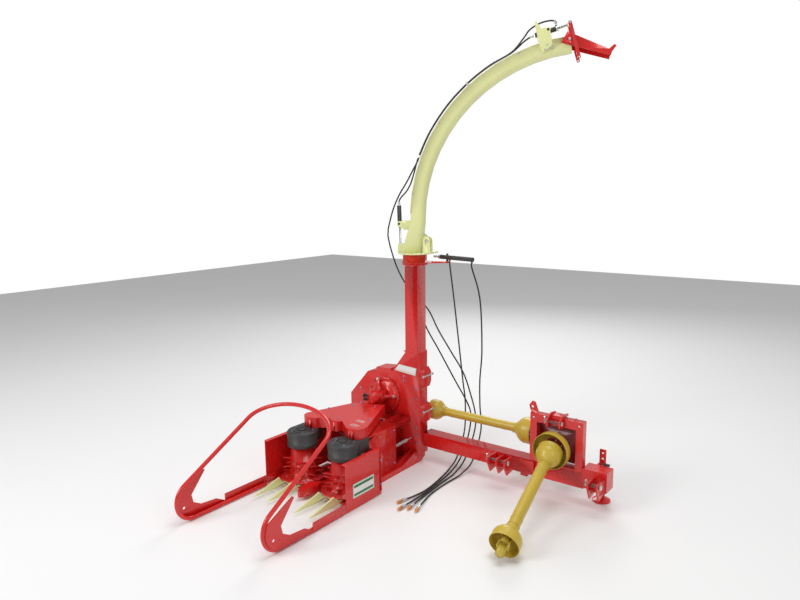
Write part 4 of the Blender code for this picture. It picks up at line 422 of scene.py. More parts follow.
# The held pair of hoses lies on the spout's back in two bolted clamps, crimped at each cylinder's port.
curved = [radians(114), radians(122), UPPER_CLAMP, radians(140), radians(150), LOWER_CLAMP]
near = [on_spout(p) for p in ((0.9780, 0.001, 3.6420), (0.950, 0.006, 3.6340), (0.900, spread, 3.603))]
near += [on_bend(angle, spread) for angle in curved] + [on_bend(LOWER_CLAMP, spread, 0.014)]
far = [on_spout(p) for p in ((1.1505, 0.0, 3.7242), (1.1505, 0.0, 3.740), (1.110, -0.004, 3.750),
                             (1.030, -0.010, 3.735),
                             (0.948, -spread, 3.690), (0.900, -spread, 3.628))]
far += [on_bend(angle, -spread) for angle in curved]
far += [on_spout(p) for p in ((0.004, -0.009, 2.600), (-0.030, -0.002, 2.500), (-0.078, 0.036, 2.430),
                              (-0.128, 0.083, 2.388),
                              (-0.157, 0.104, 2.350), (-0.158, 0.105, 2.3150))]
near_line, far_line = smooth_line(near, 0.014)[0], smooth_line(far, 0.014)[0]
held = piece("spout_hose_pair", [swept(near_line, HOSE_RADIUS, 14), swept(far_line, HOSE_RADIUS, 14)],
             HOSE_RUBBER, "spout", 60)
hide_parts("spout_hoses")
ferrules = []
for line in (near_line, far_line, far_line[::-1]):
    way = line[2] - line[0]
    ferrules.append(turned([(HOSE_RADIUS - 0.001, 0.0), (0.0092, 0.0), (0.0098, 0.002), (0.0098, 0.010),
                            (0.0088, 0.011), (0.0098, 0.012),
                            (0.0098, 0.026), (HOSE_RADIUS - 0.001, 0.027)], line[0] + way * 0.02, way, 18))
piece("spout_hose_ferrules", ferrules, ZINC, "spout")
clamp_shapes = []
for angle in (LOWER_CLAMP, UPPER_CLAMP):
    out = np.array([cos(angle), 0.0, sin(angle)])
    tangent = np.array([-sin(angle), 0.0, cos(angle)])
    middle = np.array([BEND_CENTRE, 0.0, BEND_HEIGHT])
    arc = np.linspace(0, pi, 9)
    outline = [(-0.022, 0.0), (-0.022, 0.008)]
    outline += [(-spread - 0.0085 * cos(a), 0.032 + 0.0085 * sin(a))
                for a in arc] + [(spread - 0.0085 * cos(a), 0.032 + 0.0085 * sin(a)) for a in arc]
    outline += [(0.022, 0.008), (0.022, 0.0)]
    ring = np.array([middle + out * (BEND_RADIUS + 0.0042 + height) + (0.0, across, 0.0)
                     for across, height in outline])
    centre = np.repeat(ring.mean(0)[None], len(ring), 0)
    rings = np.stack([centre - tangent * 0.010, ring - tangent * 0.010, ring + tangent * 0.010,
                      centre + tangent * 0.010])
    world = np.array([on_spout(p) for p in rings.reshape(-1, 3)])
    clamp_shapes.append((world, quads(4, len(outline))))
piece("spout_hose_clamps", clamp_shapes, ZINC, "spout")


# ---- Toolbar, headstock and hitch ---------------------------------------------------------
# Square welded tube with a deeper end box, a box-section headstock over the gearbox, and drilled plate
# brackets for the lower links and the top link. All of it is stoved red enamel.
def enamel(name, colour, gloss=0.20):
    """Gloss enamel on sheet and plate: slow changes of tone, orange peel, faint dust and rounded edges."""
    made, sockets, wire, place = shade(name, coat=0.35, coat_roughness=0.06)
    slow = noise(wire, place, 2.4, 3.0)
    dust = noise(wire, place, 17.0, 7.0, 0.4)
    peel = noise(wire, place, 420.0, 1.0)
    dark = tuple(c * 0.86 for c in colour)
    light = tuple(min(1.0, c * 1.10 + 0.004) for c in colour)
    feed(wire, sockets, Base_Color=tint(wire, slow * 0.7 + dust * 0.3, dark, light),
         Roughness=dust * 0.16 + gloss,
         Normal=relief(wire, peel + dust * 0.6, 0.05, 0.0008, 0.0022))
    return made


def bolts(name, places, body, material=None, size=0.010, washer=True):
    """Hexagon-headed bolts on washers: at each (point, direction), six flats with a chamfered crown."""
    shapes = []
    for start, along in places:
        base = 0.0
        if washer:
            shapes.append(turned([(0, -0.001), (size * 1.15, -0.001), (size * 1.15, 0.0016), (0, 0.0016)],
                                 start, along, 16))
            base = 0.0014
        shapes.append(turned([(0, base), (size * 0.92, base), (size * 0.98, base + size * 0.1),
                              (size * 0.98, base + size * 0.55),
                              (size * 0.80, base + size * 0.68), (0, base + size * 0.68)], start, along, 6))
    return piece(name, shapes, material or ZINC, body, 20)


def at(x, y, z):
    """A point measured from the toolbar's inner front corner."""
    return TOOLBAR + (x, y, z)


RED = enamel("red_enamel", (0.70, 0.012, 0.010))
# The blue tint of this bolt metal is a painted highlight, copying the light-blue glints seen on the bolt
# heads.
BLUE_HIGHLIGHT_BOLT_METAL = metal("blue_painted_highlight_bolts", (0.42, 0.50, 0.86), 0.22)
for node in ("toolbar_beam", "headstock_frame", "top_link_bracket", "outer_hitch_bracket",
             "inner_hitch_bracket"):
    cleaned(node, RED)
for node in ("top_link_pin", "outer_hitch_pin", "inner_hitch_pin"):
    cleaned(node, ZINC)

HITCH_PIN_Y, HITCH_PIN_Z = -0.100, 0.240
LINCH_RING = 0.019
ring_turn = np.linspace(0, 2 * pi, 25)[:-1]


def linch_pin(centre, along, reach):
    """A linch pin through a hitch pin's end: a short stem, a knob and a snap ring folded round it."""
    along = np.array(along, float)
    stem = turned([(0, -0.018), (0.0045, -0.017), (0.0045, 0.026), (0.0085, 0.027), (0.0085, 0.037),
                   (0, 0.038)], centre, (0, 0, 1), 14)
    forward, down = np.array([0.0, 1.0, 0.0]), np.array([0.0, 0.0, -0.9])
    ring = np.cos(ring_turn)[:, None] * forward + np.sin(ring_turn)[:, None] * down
    ring = centre + (0, 0, 0.020) + LINCH_RING * ring
    return [stem, swept(ring + along * reach, 0.0022, 8, True)]


rings = linch_pin(at(-0.976, HITCH_PIN_Y, HITCH_PIN_Z), (1, 0, 0),
                  0.006) + linch_pin(at(-0.124, HITCH_PIN_Y, HITCH_PIN_Z), (1, 0, 0), 0.006)
rings += linch_pin(at(-0.500, -0.0366, 0.640), (1, 0, 0), 0.006)
piece("linch_pins", rings, ZINC, "root")
bolts("headstock_bolts", [(at(-0.420 + side * 0.190, -0.0005, 0.640), (0, -1, 0)) for side in (-1, 1)],
      "root", ZINC, 0.007)
weld_rows = []
for x in (-0.945, -0.866, -0.792, -0.094, -0.024):
    steps = np.linspace(0.152, 0.262, 40)
    weld_rows.append(swept(np.column_stack([np.full(40, TOOLBAR[0] + x + 0.012),
                                            TOOLBAR[1] - 0.0015 + 0.0007 * np.sin(steps * 900), steps]),
                                            0.0032, 8))
piece("hitch_weld_beads", weld_rows, RED, "root", 60)
loop_turn = np.linspace(-0.25 * pi, 1.25 * pi, 19)
keeper = np.column_stack([np.cos(loop_turn), np.zeros(19), np.sin(loop_turn)])
keeper = at(-0.268, 0.030, 0.676) + 0.011 * keeper
piece("headstock_keeper_loop", [swept(keeper, 0.0028, 10)], RED, "root", 60)

# ---- Headstock gearbox and its guard bell -------------------------------------------------
# A ribbed casting bolted under the headstock, painted dark red, with a moulded yellow bell round the input.
CASTING = enamel("casting_enamel", (0.22, 0.010, 0.009), 0.34)


def moulding(name, colour):
    """Moulded guard plastic: satin, slightly translucent looking, with flow marks and handling scuffs."""
    made, sockets, wire, place = shade(name, coat=0.15, coat_roughness=0.2)
    flow = noise(wire, place, 7.0, 4.0, 1.5)
    scuff = noise(wire, place, 46.0, 8.0)
    grain = noise(wire, place, 520.0, 2.0)
    dark = tuple(c * 0.84 for c in colour)
    light = tuple(c * 1.12 for c in colour)
    feed(wire, sockets, Base_Color=tint(wire, flow * 0.6 + scuff * 0.4, dark, light),
         Roughness=scuff * 0.20 + 0.24,
         Normal=relief(wire, grain, 0.10, 0.0006, 0.0015))
    return made


GUARD = moulding("guard_plastic", (0.60, 0.43, 0.045))
cleaned("headstock_gearbox", CASTING)
bell_place = at(-0.420, 0.0, 0.430)
bell_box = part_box("input_guard_bell")
bell_back = bell_box[1][1]
depth = bell_back - bell_box[0][1]
bell_outer = [(0.085, 0.0), (0.100, 0.0), (0.110, 0.004), (0.136, 0.022), (0.142, 0.030), (0.1442, 0.034),
              (0.1442, depth - 0.004), (0.1430, depth)]
bell_inner = [(0.1400, depth), (0.1395, depth - 0.006), (0.1385, 0.034), (0.132, 0.027), (0.106, 0.008),
              (0.085, 0.004), (0.085, 0.0)]
bell = piece("input_guard_bell_moulding",
             [turned(bell_outer + bell_inner, (bell_place[0], bell_back, bell_place[2]), (0, -1, 0), 72)],
             GUARD, "root")
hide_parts("input_guard_bell")
bolts("gearbox_cover_bolts",
      [((bell_place[0] + 0.062 * cos(a), bell_back + 0.0005, bell_place[2] + 0.062 * sin(a)), (0, -1, 0))
                              for a in np.linspace(0.4, 0.4 + 2 * pi, 6, endpoint=False)], "root", ZINC,
                              0.006)

# ---- Guarded shafts -----------------------------------------------------------------------
# Telescopic drive shafts in moulded yellow tubes with bell cones at both ends; the front one hangs from
# its joint and rests on the ground, its yoke showing in the open cone.
DRIVE_HEIGHT = 0.430
SHAFT_LENGTH = 1.000
CONE_LENGTH = 0.165
END_CONE = 0.108                                  # mouth of the cone that rests on the ground
reach = np.hypot(SHAFT_LENGTH, END_CONE)
droop = np.arcsin((DRIVE_HEIGHT - SEAT) / reach) - np.arctan2(END_CONE, SHAFT_LENGTH)
SHAFT_TURN = radians(6.4)
shaft_way = np.array([cos(droop) * sin(SHAFT_TURN), -cos(droop) * cos(SHAFT_TURN), -sin(droop)])
shaft_side = np.array([cos(SHAFT_TURN), sin(SHAFT_TURN), 0.0])
shaft_up = np.cross(shaft_side, shaft_way)
shaft_top = at(-0.420, -0.085, DRIVE_HEIGHT)
TUBE, CROSS_TUBE = 0.043, 0.038
GUARD_WALL = 0.0035


def cone_profile(mouth, length, tube, start, way):
    """A guard's bell cone as (radius, height) pairs, from its mouth back to the tube."""
    steps = np.linspace(0, 1, 9)
    shoulder = [(mouth - (mouth - tube * 1.30) * (1 - cos(s * pi / 2)) ** 1.15,
                 start + way * (0.30 + 0.50 * s) * length) for s in steps]
    outer = [(mouth, start), (mouth + 0.0015, start + way * 0.006), (mouth, start + way * 0.012),
             (mouth - 0.001, start + way * 0.30 * length)]
    collar = [(tube * 1.30, start + way * 0.80 * length), (tube * 1.26, start + way * 0.86 * length),
              (tube * 1.18, start + way * 0.865 * length),
              (tube * 1.16, start + way * 0.96 * length), (tube, start + way * 0.965 * length)]
    return outer + shoulder[1:] + collar


def guard(half, tube, mouths, lengths):
    """A whole guard's profile: cone, banded tube, cone, and back along the inside, one wall deeper."""
    low = cone_profile(mouths[0], lengths[0], tube, -half, 1)
    high = cone_profile(mouths[1], lengths[1], tube, half, -1)
    bands = []
    for place in (-half + lengths[0] + 0.075, half - lengths[1] - 0.075):
        bands += [(tube, place - 0.006), (tube + 0.0018, place - 0.005), (tube + 0.0018, place + 0.005),
                  (tube, place + 0.006)]
    outer = low + bands[:4] + [(tube, 0.0)] + bands[4:] + high[::-1]
    inner = [(mouths[1] - GUARD_WALL, half), *[(r - GUARD_WALL, h) for r, h in high],
             (tube - GUARD_WALL, 0.0), *[(r - GUARD_WALL, h) for r, h in low[::-1]],
             (mouths[0] - GUARD_WALL, -half)]
    return outer + inner + [outer[0]]


near_end, far_end = 0.005, SHAFT_LENGTH
shaft_middle = shaft_top + shaft_way * (near_end + far_end) / 2
front_guard = piece("input_shaft_guard_moulding",
                    [turned(guard((far_end - near_end) / 2, TUBE, (0.100, END_CONE),
                                  (CONE_LENGTH, CONE_LENGTH)), shaft_middle, shaft_way, 64)],
                    GUARD, "input_shaft_swing", 28)
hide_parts("input_shaft_guard")
BLACK = rubber("black_moulding", 0.040, 0.38)
grease_hole_shade_place = shaft_top + shaft_way * (near_end + 0.075)
around = shaft_up * 0.72 + shaft_side * 0.55
around /= np.linalg.norm(around)
# A thin black disc on the guard's cone: painted shade standing for the dark inside the grease hole, not an
# opening.
piece("input_guard_grease_hole_painted_shade", [turned([(0, 0.0), (0.0085, 0.0), (0.0085, 0.0022), (0, 0.0022)],
                                         grease_hole_shade_place + around * 0.0958, around, 20)], BLACK,
                                         "input_shaft_swing")
cleaned("input_shaft", GUARD)
ribs = []
for end, way in ((near_end + CONE_LENGTH, 1), (far_end - CONE_LENGTH, -1)):
    for place in (0.004, 0.016):
        ribs.append(turned([(TUBE, 0), (TUBE + 0.0032, 0.001), (TUBE + 0.0032, 0.005), (TUBE, 0.006)],
                           shaft_top + shaft_way * (end + way * place), shaft_way, 48))
piece("input_guard_collar_rings", ribs, GUARD, "input_shaft_swing")

SPAN_MIN = -0.420 - 0.085 - 0.050 - 0.150
CHOPPER_RIGHT = -1.700
cross_low, cross_high = CHOPPER_RIGHT - 0.040, SPAN_MIN
cross_middle = at((cross_low + cross_high) / 2, 0.215, DRIVE_HEIGHT)
rear_guard = piece("cross_shaft_guard_moulding",
                   [turned(guard((cross_high - cross_low) / 2, CROSS_TUBE, (0.092, 0.112),
                                 (0.150, 0.200)), cross_middle, (1, 0, 0), 64)],
                   GUARD, "root", 28)
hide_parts("cross_shaft_guard")
cleaned("cross_shaft", ZINC)

# ---- Chopper housing ----------------------------------------------------------------------
# The flywheel's housing in folded plate, with a flared throat to the column and two bolted hinge lugs on
# its right-hand edge; the flywheel and gearbox are painted castings.
for node in ("chopper_housing", "chopper_skid", "feed_housing"):
    cleaned(node, RED)
for node in ("chopper_gearbox", "chopper_flywheel"):
    cleaned(node, CASTING)
FRONT = -0.080
lug_bolts, lug_heads = [], []
for z in (0.805, 0.475):
    x = CHOPPER_RIGHT + 0.026 + 0.0075
    lug_bolts.append(turned([(0, -0.040), (0.0062, -0.040), (0.0062, 0.104), (0, 0.104)], at(x, 0.0, z),
                            (0, 1, 0), 14))
    lug_heads += [(at(x, -0.040, z), (0, -1, 0)), (at(x, 0.104, z), (0, 1, 0))]
piece("lug_bolt_shanks", lug_bolts, ZINC, "root")
bolts("lug_bolt_heads", lug_heads, "root", ZINC, 0.0105)
corner = [(at(CHOPPER_RIGHT - 0.018, FRONT, z), (0, -1, 0)) for z in (0.330, 0.262, 0.192)]
corner += [(at(CHOPPER_RIGHT - 0.150, FRONT, z), (0, -1, 0)) for z in (0.752, 0.792)]
corner += [(at(-2.36, FRONT, z), (0, -1, 0))
           for z in (0.60, 0.45)] + [(at(CHOPPER_RIGHT - 0.018, FRONT, z), (0, -1, 0)) for z in (0.60, 0.70)]
bolts("housing_corner_bolts", corner, "root", BLUE_HIGHLIGHT_BOLT_METAL, 0.0085)
rear_bolts = [(at(-2.09 + 0.345 * cos(a), 0.070, 0.430 + 0.320 * sin(a)), (0, 1, 0))
              for a in np.linspace(0.35, 0.35 + 2 * pi, 10, endpoint=False)]
bolts("housing_rear_bolts", [b for b in rear_bolts if 0.13 < b[0][2] < 0.74], "root", BLUE_HIGHLIGHT_BOLT_METAL, 0.008)

# ---- Signs --------------------------------------------------------------------------------
# Two blank printed plates: white, with a pale green border; the lower one has two dark green stripes.
def sign(name, corners, outward, stripes):
    """A thin plate with a UV square, painted with a border and stripes that follow the square."""
    made, sockets, wire, place = shade(name, coat=0.3)
    square = wire.node("ShaderNodeSeparateXYZ", (), {0: wire.node("ShaderNodeUVMap", {"uv_map": "square"})})
    tree = made.node_tree
    split = square.socket.node
    across, up = Wire(tree, split.outputs[0]), Wire(tree, split.outputs[1])
    edge_u = wire.math("ABSOLUTE", across - 0.5, 0.0)
    edge_v = wire.math("ABSOLUTE", up - 0.5, 0.0)
    border = wire.math("MAXIMUM", edge_u > 0.475, edge_v > 0.44)
    paint = tint(wire, border, (0.86, 0.88, 0.86), (0.42, 0.72, 0.56))
    if stripes:
        band = (edge_v > 0.20) * wire.math("LESS_THAN", edge_v, 0.38) * wire.math("LESS_THAN", edge_u, 0.455)
        paint = wire.node("ShaderNodeMix", {"data_type": "RGBA"},
                          {0: band, 6: paint, 7: (0.010, 0.16, 0.055, 1)}, 2)
    else:
        band = (edge_v > 0.30) * wire.math("LESS_THAN", edge_v,
                                           0.34) * (0.5 - up > 0.0) * wire.math("LESS_THAN", edge_u, 0.44)
        paint = wire.node("ShaderNodeMix", {"data_type": "RGBA"},
                          {0: band, 6: paint, 7: (0.62, 0.03, 0.03, 1)}, 2)
    feed(wire, sockets, Base_Color=paint, Roughness=noise(wire, place, 40.0) * 0.1 + 0.25)
    corners = np.array([TOOLBAR + c for c in corners])
    outward = np.array(outward, float)
    mesh = bpy.data.meshes.new(name)
    points = np.concatenate([corners + outward * 0.0002, corners + outward * 0.0014])
    mesh.from_pydata(points.tolist(), [], [(4, 5, 6, 7), (0, 3, 2, 1), (0, 1, 5, 4), (1, 2, 6, 5),
                                           (2, 3, 7, 6), (3, 0, 4, 7)])
    layer = mesh.uv_layers.new(name="square")
    unit = np.array([(0, 0), (1, 0), (1, 1), (0, 1)] * 2, float)
    corner_of = np.zeros(len(mesh.loops), int)
    mesh.loops.foreach_get("vertex_index", corner_of)
    layer.data.foreach_set("uv", unit[corner_of].ravel())
    mesh.materials.append(made)
    made_piece = bpy.data.objects.new(name, mesh)
    scene.collection.objects.link(made_piece)
    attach(made_piece, "root")


sign("flare_sign", [(-1.955, FRONT, 0.835), (-1.722, FRONT, 0.815), (-1.710, FRONT, 0.885),
                    (-1.905, FRONT, 0.897)], (0, -1, 0), False)
sign("header_sign", [(-1.585, -1.094, 0.093), (-1.585, -0.842, 0.093), (-1.585, -0.842, 0.209),
                     (-1.585, -1.094, 0.209)], (1, 0, 0), True)

# ---- Gear cover ---------------------------------------------------------------------------
# A dished round cover over the roller gears, held by a three-legged yoke, with a shift hub, two black
# knobs and plated nuts on its feet.
cleaned("feed_gear_cover", RED)
COVER = np.array([-2.073, FRONT - SEAT, 0.585])
feet = [(at(COVER[0] + across, COVER[1] - 0.044, COVER[2] + up), (0, -1, 0))
        for across, up in ((-0.045, 0.150), (0.135, 0.010), (-0.120, -0.080))]
bolts("gear_cover_nuts", feet, "root", ZINC, 0.0135)
rim_bolts = [(at(COVER[0] + 0.158 * cos(a), COVER[1] - 0.0200, COVER[2] + 0.158 * sin(a)), (0, -1, 0))
             for a in np.linspace(0.2, 0.2 + 2 * pi, 12, endpoint=False)]
bolts("gear_cover_rim_bolts", rim_bolts, "root", RED, 0.0065)
knobs = []
for lift, side in ((0.024, -0.026), (-0.012, -0.022)):
    start = at(COVER[0] + side, COVER[1] - 0.190, COVER[2] + lift)
    way = np.array([-1, -2, 1]) / np.sqrt(6)
    knobs.append(turned([(0, 0.0), (0.0105, 0.0), (0.0105, 0.040), (0.0150, 0.046), (0.0175, 0.056),
                         (0.0165, 0.066), (0.0100, 0.0725), (0, 0.0735)],
                        start, way, 24))
piece("gear_cover_knobs", knobs, BLACK, "root")
hub = [turned([(0.044, 0.0), (0.0475, 0.002), (0.0475, 0.010), (0.044, 0.012)],
              at(COVER[0], COVER[1] - place, COVER[2]), (0, -1, 0), 40)
       for place in (0.150, 0.176)]
hub.append(turned([(0.030, 0.0), (0.036, 0.0), (0.036, 0.006), (0.014, 0.012), (0, 0.012)],
                  at(COVER[0], COVER[1] - 0.2045, COVER[2]), (0, -1, 0), 32))
piece("gear_hub_rings", hub, RED, "root")

# ---- Spring bay ---------------------------------------------------------------------------
# The upper roller's pull spring on its plated eye bolts, in the open bay beside the feed housing.
def coil_spring(start, end, radius, wire_radius, turns):
    """A helix with closed hook ends: start + t * (end - start) + radius * (cos, sin)(2 pi turns t)."""
    start, end = np.array(start, float), np.array(end, float)
    along = (end - start) / np.linalg.norm(end - start)
    aside = np.cross(along, (0, 0, 1.0))
    aside /= np.linalg.norm(aside)
    third = np.cross(along, aside)
    t = np.linspace(0, 1, turns * 14)
    turn = t * 2 * pi * turns
    ring = np.cos(turn)[:, None] * aside + np.sin(turn)[:, None] * third
    path = start + t[:, None] * (end - start) + radius * ring
    path = np.concatenate([[start - along * 0.018], path, [end + along * 0.018]])
    return swept(path, wire_radius, 8)


spring_low, spring_high = at(-1.805, -0.330, 0.205), at(-1.772, -0.100, 0.232)
step = (spring_high - spring_low) / np.linalg.norm(spring_high - spring_low)
piece("roller_spring", [coil_spring(spring_low + step * 0.045, spring_high - step * 0.045, 0.0135, 0.0026,
                                    17)], ZINC, "root", 60)
piece("roller_spring_eyebolts",
      [turned([(0, -0.016), (0.006, -0.016), (0.006, 0.034), (0.009, 0.035), (0.009, 0.042), (0, 0.043)],
              spring_low, step, 14),
                                 turned([(0, -0.018), (0.006, -0.018), (0.006, 0.034), (0.009, 0.035),
                                         (0.009, 0.042), (0, 0.043)], spring_high, -step, 14)], ZINC, "root")
latch = at(-1.955, -0.330, 0.4495)
piece("housing_latch", [turned([(0, 0), (0.0075, 0), (0.0075, 0.060), (0.0105, 0.061), (0.0105, 0.070),
                                (0, 0.071)], latch, (1, 0, 0), 16),
                        slab(latch - (0.012, 0.014, 0.0092), latch + (0.012, 0.014, 0.006))], ZINC, "root")
bolts("feed_housing_bolts", [(at(-1.740, y, z), (1, 0, 0)) for y in (-0.565, -0.375)
                             for z in (0.100, 0.395)], "root", BLUE_HIGHLIGHT_BOLT_METAL, 0.007)

# ---- Column, collar and turntable ---------------------------------------------------------
# The square chute column with its flange, the eight-sided slewing collar, and the cream turntable with its
# hinge cheeks, all joined by plated bolts and stiffened by small gussets.
CREAM = enamel("cream_enamel", (0.84, 0.86, 0.40), 0.24)
for node in ("chute_column", "column_collar"):
    cleaned(node, RED)
cleaned("spout_turntable", CREAM)
cleaned("fold_hinge_pin", ZINC)
RING_TOP = 1.814
flange = [(COLUMN + (0.098 * cos(a), 0.098 * sin(a), RING_TOP - 0.0162), (0, 0, -1))
          for a in np.linspace(pi / 8, pi / 8 + 2 * pi, 8, endpoint=False)]
bolts("column_flange_bolts", flange, "root", ZINC, 0.0075)
TABLE_TOP = 1.9066
table = [(COLUMN + (0.128 * cos(a), 0.128 * sin(a), TABLE_TOP), (0, 0, 1))
         for a in np.linspace(0.1, 0.1 + 2 * pi, 10, endpoint=False)]


def bearing(place):
    """Which way a place lies from the column's axis, in radians."""
    return atan2(place[1] - COLUMN[1], place[0] - COLUMN[0])


clear = [b for b in table if abs(bearing(b[0]) - 2.7) > 0.5 and abs(bearing(b[0]) - 1.05) > 0.3]
bolts("turntable_bolts", clear, "spout_base", ZINC, 0.0075)
foot_bolts = [(at(-1.83 + dx, -0.080 + dy, 1.0303), (0, 0, 1))
              for dx, dy in ((-0.009, 0.03), (-0.009, 0.10), (0.03, 0.139), (0.10, 0.139))]
bolts("column_foot_bolts", foot_bolts, "root", ZINC, 0.006)
side_seams = [slab(at(-1.700 - 0.0005, -0.080 + 0.004, 1.035), at(-1.700 + 0.0012, -0.080 + 0.010, 1.795))]
piece("column_seam", side_seams, RED, "root")

# ---- Spout and deflector hood -------------------------------------------------------------
# A tall pressed spout with a rimmed outer face and rounded inner edges, in cream enamel, and the red hood
# that its cylinder tips through a pair of levers.
cleaned("spout_arc", CREAM, 34)
cleaned("deflector_hood", RED)
bracket = [(on_spout((along, side * 0.0722, height)), ACROSS * side) for side in (-1, 1)
           for along, height in ((1.070, 3.522), (1.087, 3.558), (1.119, 3.535))]
bolts("bracket_bolts", bracket, "spout", ZINC, 0.0065)
HALF_WIDTH = 0.065
seams = []
for degrees in (171.5, 146.0, 112.0):
    angle = radians(degrees)
    seams += [(on_spout((BEND_CENTRE + (BEND_RADIUS - 0.012) * cos(angle), side * HALF_WIDTH,
                         BEND_HEIGHT + (BEND_RADIUS - 0.012) * sin(angle))), ACROSS * side)
                         for side in (-1, 1)]
bolts("spout_rim_bolts", seams, "spout", ZINC, 0.0065)
pins = [(on_spout((1.257, side * 0.097, 3.587)), ACROSS * side)
        for side in (-1, 1)] + [(on_spout((1.255, side * 0.099, 3.713)), ACROSS * side) for side in (-1, 1)]
bolts("hood_pivot_nuts", pins[:2], "spout", ZINC, 0.0095)
bolts("hood_lever_nuts", pins[2:], "hood", ZINC, 0.0095)

# ---- Cylinders ----------------------------------------------------------------------------
# Small double-acting hydraulic cylinders: black barrels with a plated gland ring, and hard chromed rods.
CHROME = metal("hard_chrome", (0.88, 0.89, 0.90), 0.07)
for node in ("slew_cylinder", "fold_cylinder", "deflector_cylinder"):
    cleaned(node + "_barrel", BLACK)
    cleaned(node + "_rod", CHROME)
glands = (("slew_barrel", SLEW_TRUNNION, SLEW_TRUNNION - SLEW_WAY, 0.095),
          ("fold_barrel", on_spout((-0.155, 0.105, 2.150)), on_spout((-0.150, 0.105, 1.955)), 0.025),
          ("deflector_barrel", on_spout((1.091, 0.0, 3.671)), on_spout((1.255, 0.0, 3.713)), 0.080))
for body, trunnion, eye, ahead in glands:
    way = (eye - trunnion) / np.linalg.norm(eye - trunnion)
    nose = trunnion + way * ahead
    band = [(0.0105, 0.0015), (0.0170, 0.0015), (0.0205, 0.0), (0.0205, -0.010), (0.0196, -0.011),
            (0.0196, -0.013), (0.0205, -0.014), (0.0205, -0.018), (0.0185, -0.019)]
    piece(body + "_gland", [turned(band + [(0.0105, -0.019), (0.0105, 0.0015)], nose, way, 32)], ZINC, body)

# ---- Header -------------------------------------------------------------------------------
# A folded floor between two side plates; over it a broad box cover hides the drums' drive. The rear
# flanges are bolted through, and the cover carries small raised louvres painted pale as a painted highlight.
for node in ("header_floor", "header_inner_side", "header_outer_side", "drum_drive_cover", "centre_divider"):
    cleaned(node, RED)
COVER_TOP = 0.550
HEADER_MIDDLE = -2.04
flange_bolts = [(at(x, -0.752, z), (way, 0, 0))
                for x, way in ((-1.585, 1), (-2.495, -1)) for z in (0.088, 0.292)]
bolts("side_flange_bolts", flange_bolts, "root", BLUE_HIGHLIGHT_BOLT_METAL, 0.0075)
top_bolts = [(at(x, y, COVER_TOP), (0, 0, 1)) for x, y in ((-2.160, -0.430), (-1.985, -0.330),
                                                           (-2.290, -0.600), (-1.800, -0.620),
                                                           (-2.040, -0.745))]
bolts("drive_cover_bolts", top_bolts, "root", BLUE_HIGHLIGHT_BOLT_METAL, 0.0085)
# The louvres' pale pink-white paint is a painted highlight: the light caught on the red cover, not a paint
# colour.
PAINTED_HIGHLIGHT_PALE = enamel("painted_highlight_louvre_enamel", (0.86, 0.62, 0.58), 0.2)
louvres = []
for middle_x, middle_y in ((-1.815, -0.800), (-1.835, -0.700)):
    for i in range(5):
        x = middle_x + (i - 2) * 0.017
        steps = np.linspace(-1, 1, 9)
        hump = 0.0035 * np.sqrt(np.clip(1 - steps ** 2, 0, 1))
        line = np.column_stack([np.full(9, x), middle_y + steps * 0.022,
                                np.full(9, COVER_TOP) + hump - 0.001]) + TOOLBAR
        louvres.append(swept(line, 0.0030, 8))
piece("cover_painted_highlight_louvres", louvres, PAINTED_HIGHLIGHT_PALE, "root", 60)

